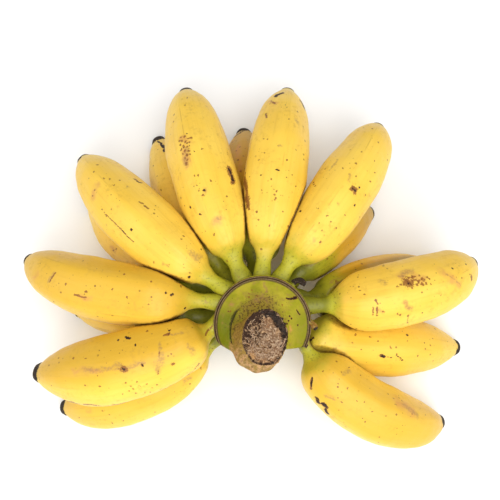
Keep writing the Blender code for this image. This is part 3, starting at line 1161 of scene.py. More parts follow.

# What the picture shows on each finger's peel; the first strokes on the two eighth fingers are painted
# shade in the crevice between them.
BLEMISHES: dict[str, list[Mark]] = {
    "upper_finger_1": [
        *stroke(RU, 1.6, (205.2, 335), (207.6, 331), (211.5, 326.5)),
        *marks(RU, 1.6, (206.8, 320), (209, 315)),
        *marks(FL, 2.0, (135.8, 344.9), (118, 340.6), (169.7, 330)),
        *stroke(FL, 2.2, (126, 336.7), (130.2, 338.6)), *marks(RU, 3.2, (172.7, 364)),
        *marks(RU, 2.2, (171.3, 354), (147, 331)), *stroke(RU, 1.8, (164, 335.5), (169, 333.5)),
        *stroke(SC, 3.0, (168, 335), (182, 333)), *stroke(FL, 1.7, (122.2, 367.6), (124.3, 370.2)),
        *stroke(RU, 3.8, (121.5, 367), (125, 370.6)), *stroke(SC, 7.0, (128, 369), (117, 368)),
        *stroke(SC, 4.2, (84, 369.5), (98, 371), (118, 367)), *stroke(BL, 5.0, (74, 370), (100, 371)),
        *stroke(SC, 4.5, (128, 367), (143, 363)), *marks(FL, 2.4, (141.9, 365.4)),
        *stroke(SC, 3.4, (160, 344), (159.5, 356)), *stroke(SC, 6.5, (160, 356), (158, 370)),
        *stroke(RU, 1.6, (159.5, 352), (158, 374)), *stroke(SC, 4.5, (189, 345), (193, 353)),
        # A red-brown line along the lower edge, where this finger lies over lower_finger_1.
        *stroke(RU, 2.0,
            (66, 402.4), (92, 404.6), (118.6, 405), (150, 398.4), (165, 391.6), (185, 380.5), (199, 364),
        ),
        *stroke(SC, 3.4, (66, 402.4), (92, 404.6), (118.6, 405), (150, 398.4), (165, 391.6), (185, 380.5)),
        *stroke(RU, 2.6, (114, 405), (124, 404)), *stroke(RU, 2.2, (69, 402), (74, 402.8)),
        *stroke(SC, 5.0, (186, 380), (189, 374)),
        *marks(RU, 1.7,
            (58.8, 358), (58.8, 362.7), (73.3, 358), (48.8, 365.6), (85.6, 358.7), (51.5, 385.3),
            (85, 385.4), (99.7, 386.4), (144.5, 392.7), (123, 394),
        ),
        *marks(RU, 1.6,
            (126, 383), (131, 386), (137, 382), (141, 387), (147, 384), (152, 388), (129, 391), (136, 393),
            (150, 392), (157, 385), (160, 389), (133, 389),
        ),
    ],
    "upper_finger_2": [
        *stroke(RU, 1.5, (55, 273), (52, 277), (50, 282)), *stroke(SC, 3.5, (54, 274), (49, 281)),
        *stroke(RU, 2.0, (74.5, 294.8), (79, 295.6)), *stroke(RU, 1.4, (79, 296), (86, 297.5)),
        *stroke(BL, 5.0, (80, 296), (90, 298.5)),
        *marks(RU, 1.9,
            (66, 284), (60.6, 292.4), (86.5, 292), (113, 289.6), (127, 297.7), (53.6, 301.5), (82.3, 261),
            (124.3, 274.6), (151.6, 281.6), (148.8, 304.6), (181, 286.8),
        ),
        *marks(FL, 2.2, (165.6, 292.8), (171.2, 295.2), (172.9, 294), (185.2, 308)),
        *marks(BL, 9.0, (35, 273)), *marks(SC, 3.0, (208, 296), (206, 301.5)),
    ],
    "upper_finger_3": [
        *marks(RU, 2.0, (97.7, 164.6), (109.6, 179.3), (104, 178.3), (113.8, 185), (119.4, 180)),
        *marks(SC, 3.0, (127.5, 187), (106.8, 225)), *stroke(BL, 8.0, (95.6, 186), (92.8, 195)),
        *marks(RU, 1.8, (95, 190), (92.5, 196)), *stroke(FL, 2.0, (137.4, 181.4), (140, 182.8)),
        *stroke(RU, 2.4, (134.5, 179), (138, 181.6)), *stroke(RU, 1.8, (140, 202), (143, 204)),
        *stroke(RU, 1.8, (144.5, 206), (148.5, 208.6)), *marks(RU, 1.7, (102.3, 209.4)),
        *stroke(RU, 1.0, (104, 212.6), (113, 221), (121, 229), (133.4, 242)),
        *stroke(FL, 0.9, (122, 230), (129, 238)), *marks(FL, 2.7, (131, 229.7)),
        *marks(RU, 1.8, (183.8, 236), (181.7, 239), (153.7, 262.3), (189.7, 272.8)),
        *stroke(SC, 3.2, (163, 264), (168, 266)), *marks(FL, 2.6, (189.4, 277.5)),
        *stroke(SC, 6.5, (192, 254), (199, 257.5)),
    ],
    "upper_finger_4": [
        *marks(RU, 1.9,
            (184.6, 105), (187, 98), (174, 115), (173.5, 121.6), (181, 198), (190.6, 207.7), (214, 234.4),
            (210.5, 180.5),
        ),
        *marks(SC, 2.5, (207, 106.6)),
        *marks(RU, 2.2,
            (181, 137), (184.5, 136.5), (188, 138.5), (182, 141), (185.5, 141.5), (189.5, 142),
            (180.5, 145), (183.5, 146), (187.5, 146.5), (181.5, 149.5),
        ),
        *marks(RU, 2.2,
            (185, 150.5), (188.5, 151), (183, 153.5), (187, 155), (190, 154), (185, 158), (188, 160),
            (186.5, 164), (191, 138), (179.5, 141),
        ),
        *marks(FL, 1.4, (187, 133.5), (189.5, 145.4), (194, 151.7), (183.5, 148), (187, 143)),
        *stroke(BL, 9.0, (184, 138), (187, 163)), *stroke(SC, 6.0, (185, 150), (187, 162)),
        *marks(RU, 2.2, (201.8, 148.6)), *marks(BL, 3.5, (178.6, 179.4)),
        *marks(RU, 1.8, (194.8, 175.6), (197.9, 175.2), (196.9, 185.3), (202.5, 194.5)),
        *marks(FL, 2.4, (204.3, 190.3)), *marks(SC, 5.5, (204.3, 191)),
        *stroke(FL, 2.8, (229.4, 169.5), (230.6, 173)), *stroke(FL, 3.0, (231.6, 176), (232.6, 180)),
        *marks(FL, 3.0, (233.4, 183.6)), *stroke(RU, 5.2, (229.4, 169), (233.6, 183)),
        *marks(FL, 2.3, (200.4, 214.1), (190.6, 207.7)), *marks(BL, 10.0, (217.2, 221.4)),
        *marks(SC, 6.5, (216.5, 219.5)),
    ],
    "upper_finger_5": [
        *stroke(FL, 4.8, (275.6, 96.4), (278, 94.4), (281, 93.2)),
        *stroke(FL, 3.4, (301, 100.5), (303.6, 104), (305.3, 108)), *marks(RU, 2.0, (305, 141)),
        *stroke(RU, 1.8, (271, 102), (275, 103.5)), *stroke(RU, 2.4, (266, 114), (267, 117)),
        *stroke(BL, 5.0, (269, 102), (276, 103)),
        *marks(RU, 1.7,
            (263.4, 138.8), (267.3, 139.5), (264.5, 152.8), (271.4, 179), (274.6, 199.7), (256.7, 212.3),
            (258.5, 220), (295.6, 186), (283, 211.6),
        ),
        *stroke(FL, 1.3, (276.5, 169.4), (279.4, 170.8)),
        *marks(RU, 1.6,
            (274, 189.5), (276.5, 191.2), (274.5, 194.5), (275.6, 198), (287, 160), (259, 160), (292, 175),
            (262, 190), (270, 226), (288, 226), (296, 150), (289, 119),
        ),
        *stroke(SC, 5.0, (246, 182), (248, 204)),
        *stroke(RU, 4.0, (244.5, 178), (246.5, 190), (248.2, 206)),
        *marks(RU, 3.0, (245, 174), (249, 209), (247.5, 197)), *marks(SC, 5.0, (298, 122)),
        *marks(SC, 4.0, (280, 146)),
    ],
    "upper_finger_6": [
        *marks(RU, 1.9,
            (378.8, 142.8), (372.7, 128.6), (355.8, 163), (325.3, 168.9), (374.9, 172.6), (370.2, 181.4),
            (374.4, 160.6), (320.3, 242.6),
        ),
        *stroke(SC, 2.2, (337.5, 160), (333, 166), (329.4, 170.4)),
        *stroke(SC, 3.0, (349.6, 174), (349.2, 181)), *stroke(FL, 1.5, (352.5, 188.5), (355.5, 191)),
        *stroke(RU, 2.6, (351, 190), (353.5, 187.6), (356.5, 189.5), (354, 192.8)),
        *marks(BL, 6.0, (354, 190.5)), *marks(FL, 1.6, (359.2, 187.6)), *marks(FL, 2.2, (354.8, 204.9)),
        *marks(FL, 1.6, (314, 184.3)), *marks(RU, 2.0, (313.2, 182.6), (315.3, 186)),
        *marks(FL, 2.6, (300.8, 211.2)),
        *marks(RU, 1.6,
            (345, 215), (331, 222), (336, 228), (322, 231), (366, 195), (362, 152), (350, 150), (343, 168),
            (327, 216), (319, 223),
        ),
        *marks(BL, 6.0, (313.7, 240.8)), *marks(SC, 3.0, (338.2, 203.8)),
    ],
    "upper_finger_7": [
        *marks(FL, 1.8, (408.2, 283.4)), *stroke(RU, 5.6, (406.5, 281.4), (410.5, 284.2)),
        *marks(RU, 2.2, (397.8, 286.2), (401, 284.5), (404, 285), (413, 284)),
        *marks(RU, 2.6,
            (412, 281), (415.5, 279.5), (418.5, 281.5), (421, 278.5), (424.5, 280), (427.5, 277.5),
            (417, 284.5), (413, 277.5), (422.5, 284), (409, 277.5),
        ),
        *marks(RU, 1.8,
            (415, 276.5), (426.5, 283.5), (419.5, 275.5), (405.5, 276.5), (430, 279), (412, 288),
        ),
        *stroke(BL, 9.0, (408, 281), (424, 279)),
        *stroke(BL, 6.5, (400, 275.5), (406.4, 272.3), (412, 271.5)),
        *stroke(SC, 5.0, (401, 275.5), (406, 272.3), (412, 271.3)), *marks(FL, 2.1, (452.2, 268.2)),
        *stroke(RU, 3.0, (471.4, 276), (471.6, 279.5)),
        *stroke(SC, 1.9, (446, 274.5), (454, 279), (460.7, 284.8)),
        *stroke(RU, 1.5, (373, 307.5), (372.8, 313)), *stroke(RU, 1.5, (377.3, 307.5), (377, 313)),
        *marks(RU, 1.8, (372.8, 315), (377, 315), (400.2, 314.9), (397.6, 314.2), (375.6, 300.9)),
        *marks(RU, 2.1, (383.7, 311.2)), *stroke(RU, 1.6, (375, 300), (377.5, 303.5)),
        *stroke(BL, 4.0, (376, 309.5), (384, 311.5)), *stroke(SC, 4.5, (406, 303.5), (411, 309.5)),
        *stroke(BL, 4.0, (404, 303), (410, 309)), *stroke(RU, 1.3, (408, 315), (407, 323)),
        *stroke(BL, 8.0, (440, 272), (458, 284)),
        *marks(RU, 1.7, (360.9, 290.7), (364.6, 294.3), (387.3, 268.7), (431, 284), (441, 296)),
        *marks(SC, 7.0, (384, 284)),
    ],
    "upper_finger_8": [
        # The first two strokes are painted shade: a black line down the crevice where this finger meets
        # lower_finger_8.
        *stroke(FL, 2.2, (305.5, 346.5), (309, 342.5)), *stroke(FL, 1.4, (309, 342.5), (313, 339.5)),
        *stroke(SC, 3.0, (316, 341), (319, 350)), *stroke(FL, 1.6, (312.4, 378.5), (311.2, 386)),
        *stroke(RU, 1.8, (312.0, 379), (311.2, 384), (311.0, 389)),
        *stroke(FL, 3.4, (316.4, 398.5), (318.6, 402.5)),
        *stroke(FL, 4.0, (323.0, 403.5), (325.0, 407.6), (326.6, 412.5)),
        *stroke(BL, 11.0, (398, 400), (412, 412)), *stroke(SC, 8.0, (404, 404), (416, 414)),
        *stroke(SC, 5.0, (343, 374), (349, 371)), *stroke(SC, 4.5, (326, 394), (334, 399)),
        *marks(RU, 1.5,
            (336.6, 361.5), (338.5, 384), (347.5, 388), (341.5, 402), (364.5, 402), (338, 398),
            (349.5, 367.8), (322.5, 371), (360.5, 375.5),
        ),
        *marks(RU, 1.4,
            (388, 394), (393, 398), (399, 396), (402, 401), (395, 404), (349, 368), (341, 372), (338, 387),
            (357, 401), (372, 412), (365, 422), (412, 414), (420, 408),
        ),
    ],
    "lower_finger_1": [
        *marks(BL, 6.0, (89, 410.8)),
        *marks(RU, 1.9,
            (103, 410.8), (123, 420.5), (112.4, 423), (154.6, 411.8), (190, 384), (200.8, 368.6),
            (79.6, 418),
        ),
        *stroke(SC, 4.0, (185, 381), (190, 378)),
    ],
    "lower_finger_3": [
        *marks(SC, 5.0, (113.5, 250.4)), *marks(RU, 1.8, (113.5, 250.4), (116, 249)),
        *marks(BL, 8.0, (113.5, 250.4)), *marks(SC, 3.0, (109.6, 246)),
    ],
    "lower_finger_4": [
        *stroke(FL, 2.6, (158.0, 141.0), (162.5, 145.5), (164.5, 151.0)),
        *marks(RU, 1.6, (153, 166), (157, 176), (161, 190), (150, 158)),
        *stroke(RU, 1.8, (151, 140), (156, 139)),
    ],
    "lower_finger_5": [
        *stroke(FL, 2.0, (234.0, 136.5), (240.0, 132.5), (247.0, 129.5)),
        *marks(RU, 2.0, (232, 142), (236, 151), (240, 147), (238, 160), (243, 156), (241, 171)),
        *stroke(BL, 6.0, (238, 146), (241, 168)),
    ],
    "lower_finger_6": [
        *marks(RU, 1.8, (327, 259), (334.5, 257)),
    ],
    "lower_finger_7": [
        *marks(RU, 2.0, (336, 280.4), (353, 275.3), (361.7, 263.8)),
        *stroke(SC, 3.0, (330, 283), (341, 277)),
    ],
    "lower_finger_8": [
        # The first stroke is painted shade: a black line down the crevice where this finger meets
        # upper_finger_8.
        *stroke(FL, 1.4, (309.5, 341.5), (314, 337.8)), *stroke(FL, 2.4, (380.5, 355), (384.5, 356.4)),
        *marks(FL, 1.7, (388, 357), (391, 357.4)), *marks(FL, 2.0, (396.5, 355)),
        *stroke(FL, 1.2, (397, 355.5), (401, 359)), *marks(FL, 2.2, (402.6, 360)),
        *marks(FL, 2.4, (407.5, 335.5)),
        *marks(RU, 1.7,
            (370, 337), (378, 341), (356, 334), (352.5, 342.5), (390, 347), (361, 350), (418, 356),
            (430, 345), (433, 339),
        ),
        *marks(RU, 1.8, (425, 349), (407.4, 341)), *marks(FL, 2.0, (362.5, 330.2)),
    ],
}


def hand_of_fingers() -> list[Finger]:
    """Every finger of the hand.

    The numbers without a name say how it grows: bearing, heading, hook, turn, rise, dip, length, girth
    and roll.
    """
    up, low = Row.UPPER, Row.LOWER
    return [
        Finger(
            "upper_finger_1", up, 172, 217, -2, -41, 8, 32, 0.1145, 0.0380, 10,
            neck=0.72, green=0.95, dry=3.0, tone=0.8, painted_shade_way=120, full=0.08,
        ),
        Finger(
            "upper_finger_2", up, 147, 176, 14, -43, 10, 40, 0.1285, 0.0345, 40,
            dry=1.3, tone=0.7, blunt=0.14, full=0.14,
        ),
        Finger(
            "upper_finger_3", up, 133, 149, -2, -21, 10, 40, 0.1325, 0.0360, 20,
            neck=0.93, green=1.05, dry=2.0, tone=0.2, painted_shade_way=60, blunt=0.10, full=0.10, rib_depth=0.036,
        ),
        Finger(
            "upper_finger_4", up, 112, 117, -5, -12, 10, 40, 0.1370, 0.0372, 0,
            neck=0.87, green=1.15, dry=2.4, dullness_and_painted_shade=1.12, blunt=0.12, full=0.08,
        ),
        Finger(
            "upper_finger_5", up, 92, 84, -1, -2, 10, 40, 0.1300, 0.0350, 30,
            neck=0.87, green=1.1, dry=0.8, blunt=0.10, full=0.08,
        ),
        Finger(
            "upper_finger_6", up, 73, 56, -10, 20, 8, 38, 0.1268, 0.0352, 15,
            neck=0.85, green=1.25, dry=0.6, dullness_and_painted_shade=1.15, blunt=0.18, full=0.10, rib_depth=0.022,
        ),
        Finger(
            "upper_finger_7", up, 29, 0, -4, 37, 8, 38, 0.1150, 0.0360, 25,
            green=0.9, dry=1.2, tone=0.2, dullness_and_painted_shade=2.4, blunt=0.15, full=0.10, rib_depth=0.026,
        ),
        Finger(
            "upper_finger_8", up, -9, -68, 2, 74, -6, 30, 0.1155, 0.0338, 5,
            neck=0.8, green=1.15, dry=2.6, tone=0.65, painted_shade_way=95, dullness_and_painted_shade=1.3, blunt=0.08, full=0.14,
            rib_depth=0.026,
        ),
        Finger(
            "lower_finger_1", low, 190, 227, 0, -46, -10, 14, 0.1160, 0.0336, 12,
            neck=0.9, green=0.9, dry=2.4, tone=0.5,
        ),
        Finger(
            "lower_finger_2", low, 165, 194, -34, 22, -12, 16, 0.1000, 0.0335, 33,
            green=2.0, stout=1.3,
        ),
        Finger(
            "lower_finger_3", low, 144, 153, -5, -11, -12, 12.2, 0.1200, 0.0340, 8,
            green=1.8, stout=1.3,
        ),
        Finger(
            "lower_finger_4", low, 124, 134, -15, -8, -12, 11.8, 0.1255, 0.0335, 50,
            green=1.6, dry=2.8, stout=1.3, dullness_and_painted_shade=0.75,
        ),
        Finger(
            "lower_finger_5", low, 103, 80, 15, 2, -12, 16, 0.1160, 0.0335, 20,
            neck=0.85, green=1.9, dry=3.0, tone=1.3, stout=1.4,
        ),
        Finger(
            "lower_finger_6", low, 60, 41, 36, -57, -12, 20, 0.0880, 0.0335, 45,
            green=2.0, dry=1.6, tone=1.5, stout=1.2,
        ),
        Finger(
            "lower_finger_7", low, 40, -4, 22, -1, -12, 17.4, 0.1050, 0.0340, 0,
            neck=0.85, green=1.8, tone=2.8, painted_shade_way=100, stout=1.3,
        ),
        Finger(
            "lower_finger_8", low, 4, -44, 40, 6, -12, 14, 0.1090, 0.0345, 28,
            neck=0.45, green=2.6, dry=2.2, tone=0.25, painted_shade_way=100, stout=1.15, dullness_and_painted_shade=0.4, lift=0.004,
            full=0.10,
        ),
    ]


# Crown --------------------------------------------------------------------------------------------

# As in the solid part: height, middle x, middle y, half width, half depth, share of the reach.
CROWN_LEVELS = (
    (-0.0400, -0.0018, -0.0115, 0.0090, 0.0098, 0.00), (-0.0335, -0.0019, -0.0115, 0.0097, 0.0106, 0.02),
    (-0.0290, -0.0020, -0.0115, 0.0105, 0.0115, 0.22), (-0.0255, -0.0021, -0.0115, 0.0111, 0.0122, 0.60),
    (-0.0215, -0.0022, -0.0115, 0.0115, 0.0127, 0.88), (-0.0150, -0.0023, -0.0112, 0.0121, 0.0130, 1.00),
    (-0.0080, -0.0024, -0.0110, 0.0125, 0.0132, 1.00), (-0.0030, -0.0024, -0.0110, 0.0127, 0.0134, 0.99),
    (-0.0018, -0.0024, -0.0110, 0.0127, 0.0134, 1.06), (0.0002, -0.0024, -0.0110, 0.0127, 0.0134, 1.06),
    (0.0012, -0.0024, -0.0110, 0.0127, 0.0134, 0.95), (0.0028, -0.0025, -0.0112, 0.0128, 0.0134, 0.78),
    (0.0050, -0.0025, -0.0111, 0.0128, 0.0134, 0.52), (0.0078, -0.0024, -0.0108, 0.0127, 0.0134, 0.28),
    (0.0120, -0.0021, -0.0098, 0.0124, 0.0136, 0.11), (0.0180, -0.0013, -0.0074, 0.0120, 0.0140, 0.02),
    (0.0240, -0.0003, -0.0050, 0.0117, 0.0143, 0.00), (0.0310, 0.0009, -0.0028, 0.0115, 0.0145, 0.00),
)
CUT_SLOPE = 0.10  # how the cut leans, towards the back
RING_FROM, RING_TO = 6, 11  # the levels that the scar ring's fine rings lie between


@dataclass
class Crown:
    """The crown with its piece of stalk: the scar ring, the fold, the bark and the torn cut."""

    ring_radius: float = 0.0256
    left_fade: Point = (math.radians(171), math.radians(203))
    right_fade: Point = (math.radians(-9), math.radians(0))
    cut_slope: float = CUT_SLOPE
    sides: int = 300
    low_rings: int = 36
    ring_rings: int = 64
    top_rings: int = 76
    cut_rings: int = 46
    ridges: Point = (0.0261, 0.0249)  # the two raised lines of the scar
    ridge_width: float = 0.00034
    ridge_height: float = 0.0007
    ring_wander: float = 0.0004
    crumble: float = 0.00035
    crumble_grain: float = 0.0024
    strand: float = 0.00018  # how far the bark's strands stand out
    rim_drop: float = 0.0007  # how far the stalk draws in at the cut
    woven: float = 0.00045
    pitted: float = 0.0005
    hollow: float = 0.0011
    ring_middle: float = 0.02545
    ring_half: float = 0.00112
    gutter: float = 0.02410  # the radius of the dark line inside the scar
    gutter_width: float = 0.00028
    fold: tuple[Point, ...] = (
        (239.5, 306.5), (235.5, 311), (232.5, 317.5), (230, 325), (229.8, 333), (230.8, 342),
    )
    fold_width: float = 0.00105
    fold_depth: float = 0.0012
    cut_middle: Point = (0.0009, -0.0028)

    def reach(self, angle: Array, x: Array, y: Array) -> Array:
        """Distance from the stalk's middle to the ring's circle, along each direction."""
        away = -(np.cos(angle) * x + np.sin(angle) * y)
        return away + np.sqrt(away**2 + self.ring_radius**2 - x**2 - y**2)

    def presence(self, angle: Array) -> Array:
        """1 where the cushion of necks wraps the stalk, and 0 on its open side."""
        from_right = np.where(angle < -math.pi / 2, angle + 2 * math.pi, angle)
        return fade(from_right, *self.right_fade) * (1 - fade(from_right, *self.left_fade))

    def shown(self) -> list[Mark]:
        """The blemishes that the picture shows on the crown."""
        return [
            *marks(SC, 5.5, (232, 304)), *marks(BL, 3.0, (232, 304)),
            *stroke(FL, 2.2, (287, 299), (291, 298.6), (296, 298)),
            *stroke(FL, 1.3, (297, 310.5), (299.4, 314.5)),
            *marks(FL, 1.8, (289, 316), (297.5, 325), (289, 321)),
            *stroke(BL, 3.0, (290.5, 326), (292, 331)),
            *marks(FL, 1.2,
                (250, 305.5), (253, 303.6), (257, 305), (260, 303), (264, 304.8), (268, 306.4),
                (247, 308.4), (262, 306.4), (255, 307), (271, 308), (244.6, 311),
            ),
            *marks(SC, 5.0, (262, 297), (256, 300), (268, 301)), *stroke(SC, 3.0, (265, 283), (265.5, 292)),
            *marks(RU, 1.6, (249, 297), (249, 294), (258, 296), (231, 311), (252, 290), (282, 305)),
            *marks(FL, 1.5, (287, 324), (291.5, 318.5), (228.5, 311)),
            *stroke(BL, 2.2, (288, 326.5), (290.5, 331.5)),
        ]

    def build(self, finish: bpy.types.Material) -> bpy.types.Object:
        """Turns the levels into a fine closed skin and dresses it.

        Args:
            finish: the rind.

        Returns:
            The crown's piece.
        """
        rings = self.low_rings + self.ring_rings + self.top_rings + self.cut_rings
        mesh = tube_mesh("stalk_and_crown", self.sides, rings)
        ring, angle = rings_and_angles(mesh, rings)
        last = len(CROWN_LEVELS) - 1
        level = np.concatenate((
            np.linspace(0, RING_FROM, self.low_rings, endpoint=False),
            np.linspace(RING_FROM, RING_TO, self.ring_rings, endpoint=False),
            np.linspace(RING_TO, last, self.top_rings), np.full(self.cut_rings, last),
        ))
        known = np.arange(last + 1)
        # Each level's figures at each point.
        height, x, y, width, depth, share = (
            smooth_curve(known, column, level)[ring] for column in np.array(CROWN_LEVELS).T
        )
        inside = closed_end(rings, self.cut_rings, 0.02)[1][ring]

        bare = 1 / np.hypot(np.cos(angle) / width, np.sin(angle) / depth)
        present = self.presence(angle)
        radius = bare + np.maximum(self.reach(angle, x, y) - bare, 0) * share * present
        around = np.stack((np.cos(angle), np.sin(angle), np.zeros_like(angle)), axis=1)
        local = np.stack((x, y, height), axis=1) + around * (radius * inside)[:, None]
        past = level[ring] - last + 1
        local[:, 2] += np.where(past > 0, self.cut_slope * (local[:, 1] - y) * past, 0)

        # The double scar.
        out = np.hypot(local[:, 0], local[:, 1])
        top = fade(height, -0.0030, -0.0012) * (1 - fade(height, 0.004, 0.006))
        lines = sum(np.exp(-(((out - ridge) / self.ridge_width) ** 2)) for ridge in self.ridges)
        wander = 1 + 0.30 * ripple(local, 0.006, 5) + 0.25 * ripple(local, 0.0017, 6)
        scarred = present**0.3 * (present > 0.02)
        local[:, 2] += self.ridge_height * lines * top * wander * scarred
        local += around * (self.ring_wander * ripple(local, 0.012, 3) * (1 - top))[:, None]

        # Bark and cut.
        on_stalk = fade(height, 0.008, 0.016)
        face = inside < 0.999
        crumble = grain(local, self.crumble_grain)
        upright = np.stack((around[:, 0] * 0.02, around[:, 1] * 0.02, height * 0.2), axis=1)
        ribbed = ripple(upright, 0.004, 9)
        relief = self.crumble * crumble + self.strand * ribbed
        local += around * (relief * on_stalk * ~face)[:, None]
        rim = fade(height, 0.0280, 0.0310) * ~face
        local += around * (-self.rim_drop * rim)[:, None]
        hollow = 1 - np.clip(inside, 0, 1) ** 6
        rough = self.woven * ripple(local, 0.0026, 12, 12) + self.pitted * crumble
        local[:, 2] += np.where(face, rough * hollow - self.hollow * hollow, 0)

        places = from_crown(local)
        shown, depths = LENS.shown_at(places)
        path = carried_down(self.fold, places, shown, depths)
        fold = closeness(places, path, self.fold_width * 1.6) * ~face
        normal_in = -from_crown(around) + from_crown(np.zeros((1, 3)))
        places += normal_in * (self.fold_depth * fade(fold, 0.2, 1.0))[:, None] * 0.6
        places[:, 2] -= self.fold_depth * fade(fold, 0.2, 1.0)
        set_places(mesh, places)

        # Painted shade on the cushion, strongest on its left and a little on its right.
        left = fade(-local[:, 0], 0.002, 0.020) * fade(local[:, 1], 0.020, -0.004)
        left += 0.50 * fade(local[:, 0], 0.010, 0.022) * fade(local[:, 1], 0.016, 0.004)
        set_field(mesh, "skin", np.stack((around[:, 0], around[:, 1], height / 0.013), axis=1) * 0.013)
        set_field(mesh, "deep", left)
        band = np.exp(-(((out - self.ring_middle) / self.ring_half) ** 4))
        set_field(mesh, "ringed", np.clip(band * top * scarred * 1.2, 0, 1))
        set_field(mesh, "ridge", np.clip(lines, 0, 1) * top * scarred)
        channel = np.exp(-(((out - self.gutter) / self.gutter_width) ** 2))
        set_field(mesh, "gutter", channel * top * scarred)
        from_cut = (local[:, :2] - self.cut_middle) / (0.0115, 0.0145)
        beside = np.hypot(from_cut[:, 0], from_cut[:, 1])
        behind = fade(local[:, 1], -0.004, 0.008) * (1 - fade(local[:, 0], 0.004, 0.011))
        collar = (1 - fade(beside, 1.02, 1.75)) * (0.35 + 0.65 * behind)
        strip = fade(-local[:, 0], 0.0105, 0.0130) * (1 - fade(-local[:, 0], 0.0165, 0.0180))
        strip = strip * fade(local[:, 1], 0.012, -0.004)
        open_side = (1 - present) * fade(height, -0.02, 0.004)
        set_field(mesh, "collar", np.maximum(collar, strip))
        set_field(mesh, "olive", fade(local[:, 1], -0.016, -0.004))
        set_field(mesh, "warm", fade(-local[:, 0], -0.006, 0.003) * fade(-local[:, 1], 0.001, 0.009))
        low_strip = 0.75 * strip * fade(local[:, 1], 0.0, -0.012)
        bark = np.maximum.reduce((fade(height, 0.0070, 0.0160), low_strip, open_side))
        set_field(mesh, "bark", np.where(face, 0, np.clip(bark, 0, 1)))
        set_field(mesh, "cut", np.where(face | (rim > 0.75), 1.0, 0.0))
        # Painted shade along the fold beside the stalk.
        set_field(mesh, "painted_crease_shade", fold * fade(path[:, 1].max() - places[:, 1], -0.002, 0.004))
        edge = fade(inside, 0.84, 0.96)
        to_right = fade(local[:, 0], -0.003, 0.006) * fade(local[:, 1], -0.010, 0.002)
        to_left = fade(-local[:, 0], -0.004, 0.007) * fade(local[:, 1], -0.014, 0.002)
        # The cut face is darker at its rim, towards its right and on its left.
        cut_darkening = 0.10 + 0.90 * edge + 1.4 * to_right * fade(inside, 0.58, 0.80) + 0.95 * to_left
        set_field(mesh, "cut_darkening", np.where(face, np.clip(cut_darkening, 0, 1.1), 0.70))
        dress_with_marks(mesh, places, self.shown(), LENS)
        return add_piece("crown_rind_and_cut", mesh, finish, "crown_rind", "stalk_and_crown")


@dataclass
class TornCut:
    """The loose fibres and crumbs on the stalk's cut face and round its rim."""

    middle: tuple[float, float, float] = (0.0009, -0.0028, 0.0303)
    half_width: float = 0.0108
    half_depth: float = 0.0137
    strands: int = 260
    crumbs: int = 260
    seed: int = 21

    def fibres(self, finish: bpy.types.Material) -> bpy.types.Object:
        """The woven pale fibres that lie over the cut.

        Args:
            finish: the fibres' material.

        Returns:
            Their piece.
        """
        chance = np.random.default_rng(self.seed)
        curve = bpy.data.curves.new("cut_fibres", "CURVE")
        curve.dimensions = "3D"
        curve.bevel_depth, curve.bevel_resolution = 0.00010, 1
        curve.use_fill_caps = True
        for _ in range(self.strands):
            far, way = math.sqrt(chance.uniform(0, 0.80)), chance.normal(-0.9, 1.3)
            if far > 0.5 and -0.1 < way < 2.9:
                continue
            start = np.array([self.half_width * far * math.cos(way), self.half_depth * far * math.sin(way)])
            heading = chance.uniform(0, math.pi)
            length, bend = chance.uniform(0.0015, 0.0060), chance.uniform(-1.8, 1.8)
            steps = 6
            spline = curve.splines.new("POLY")
            spline.points.add(steps - 1)
            spot, lift = start.copy(), chance.uniform(-0.0002, 0.0005)
            for step in range(steps):
                arch = 0.0004 * math.sin(math.pi * step / (steps - 1)) + lift
                reach = math.hypot(spot[0] / self.half_width, spot[1] / self.half_depth)
                spot *= min(1, 0.97 / max(reach, 1e-6))
                local = np.array([self.middle]) + (*spot, CUT_SLOPE * spot[1] + arch)
                spline.points[step].co = (*from_crown(local)[0], 1)
                spline.points[step].radius = chance.uniform(0.6, 1.7)
                turned = heading + bend * step / steps
                spot = spot + length / steps * np.array([math.cos(turned), math.sin(turned)])
        holder = bpy.data.objects.new("fibre_curves", curve)
        mesh = bpy.data.meshes.new_from_object(holder)
        bpy.data.objects.remove(holder)
        return add_piece("cut_fibres", mesh, finish, "crown_rind")

    def rim_crumbs(self, finish: bpy.types.Material) -> bpy.types.Object:
        """The dark crumbs round the rim, thickest at the upper right.

        Args:
            finish: the crumbs' material.

        Returns:
            Their piece.
        """
        chance = np.random.default_rng(self.seed + 1)
        shape = bmesh.new()
        for count in range(self.crumbs):
            thick = count < self.crumbs * 0.6
            way = math.radians(chance.normal(40, 28)) if thick else chance.uniform(0, 2 * math.pi)
            far = chance.uniform(0.76, 1.02) if thick else chance.uniform(0.95, 1.03)
            size = chance.uniform(0.0003, 0.0008) if thick else chance.uniform(0.0002, 0.0005)
            x, y = self.half_width * far * math.cos(way), self.half_depth * far * math.sin(way)
            local = np.array([self.middle]) + (x, y, CUT_SLOPE * y - 0.0001)
            wide, deep, tall = chance.uniform(0.7, 1.6), chance.uniform(0.7, 1.3), chance.uniform(0.6, 1.0)
            spread = Matrix.Diagonal((wide, deep, tall, 1))
            spun, tipped = chance.uniform(0, 6.28), chance.uniform(0, 3)
            turned = Matrix.Rotation(spun, 4, "Z") @ Matrix.Rotation(tipped, 4, "X")
            lump = bmesh.ops.create_icosphere(
                shape, subdivisions=2, radius=size,
                matrix=Matrix.Translation(Vector(from_crown(local)[0])) @ turned @ spread,
            )["verts"]
            for vertex in lump:
                vertex.co += noise.noise_vector(vertex.co / 0.0006) * size * 0.35
        return add_piece("rim_crumbs", mesh_of(shape, "rim_crumbs"), finish, "crown_rind")


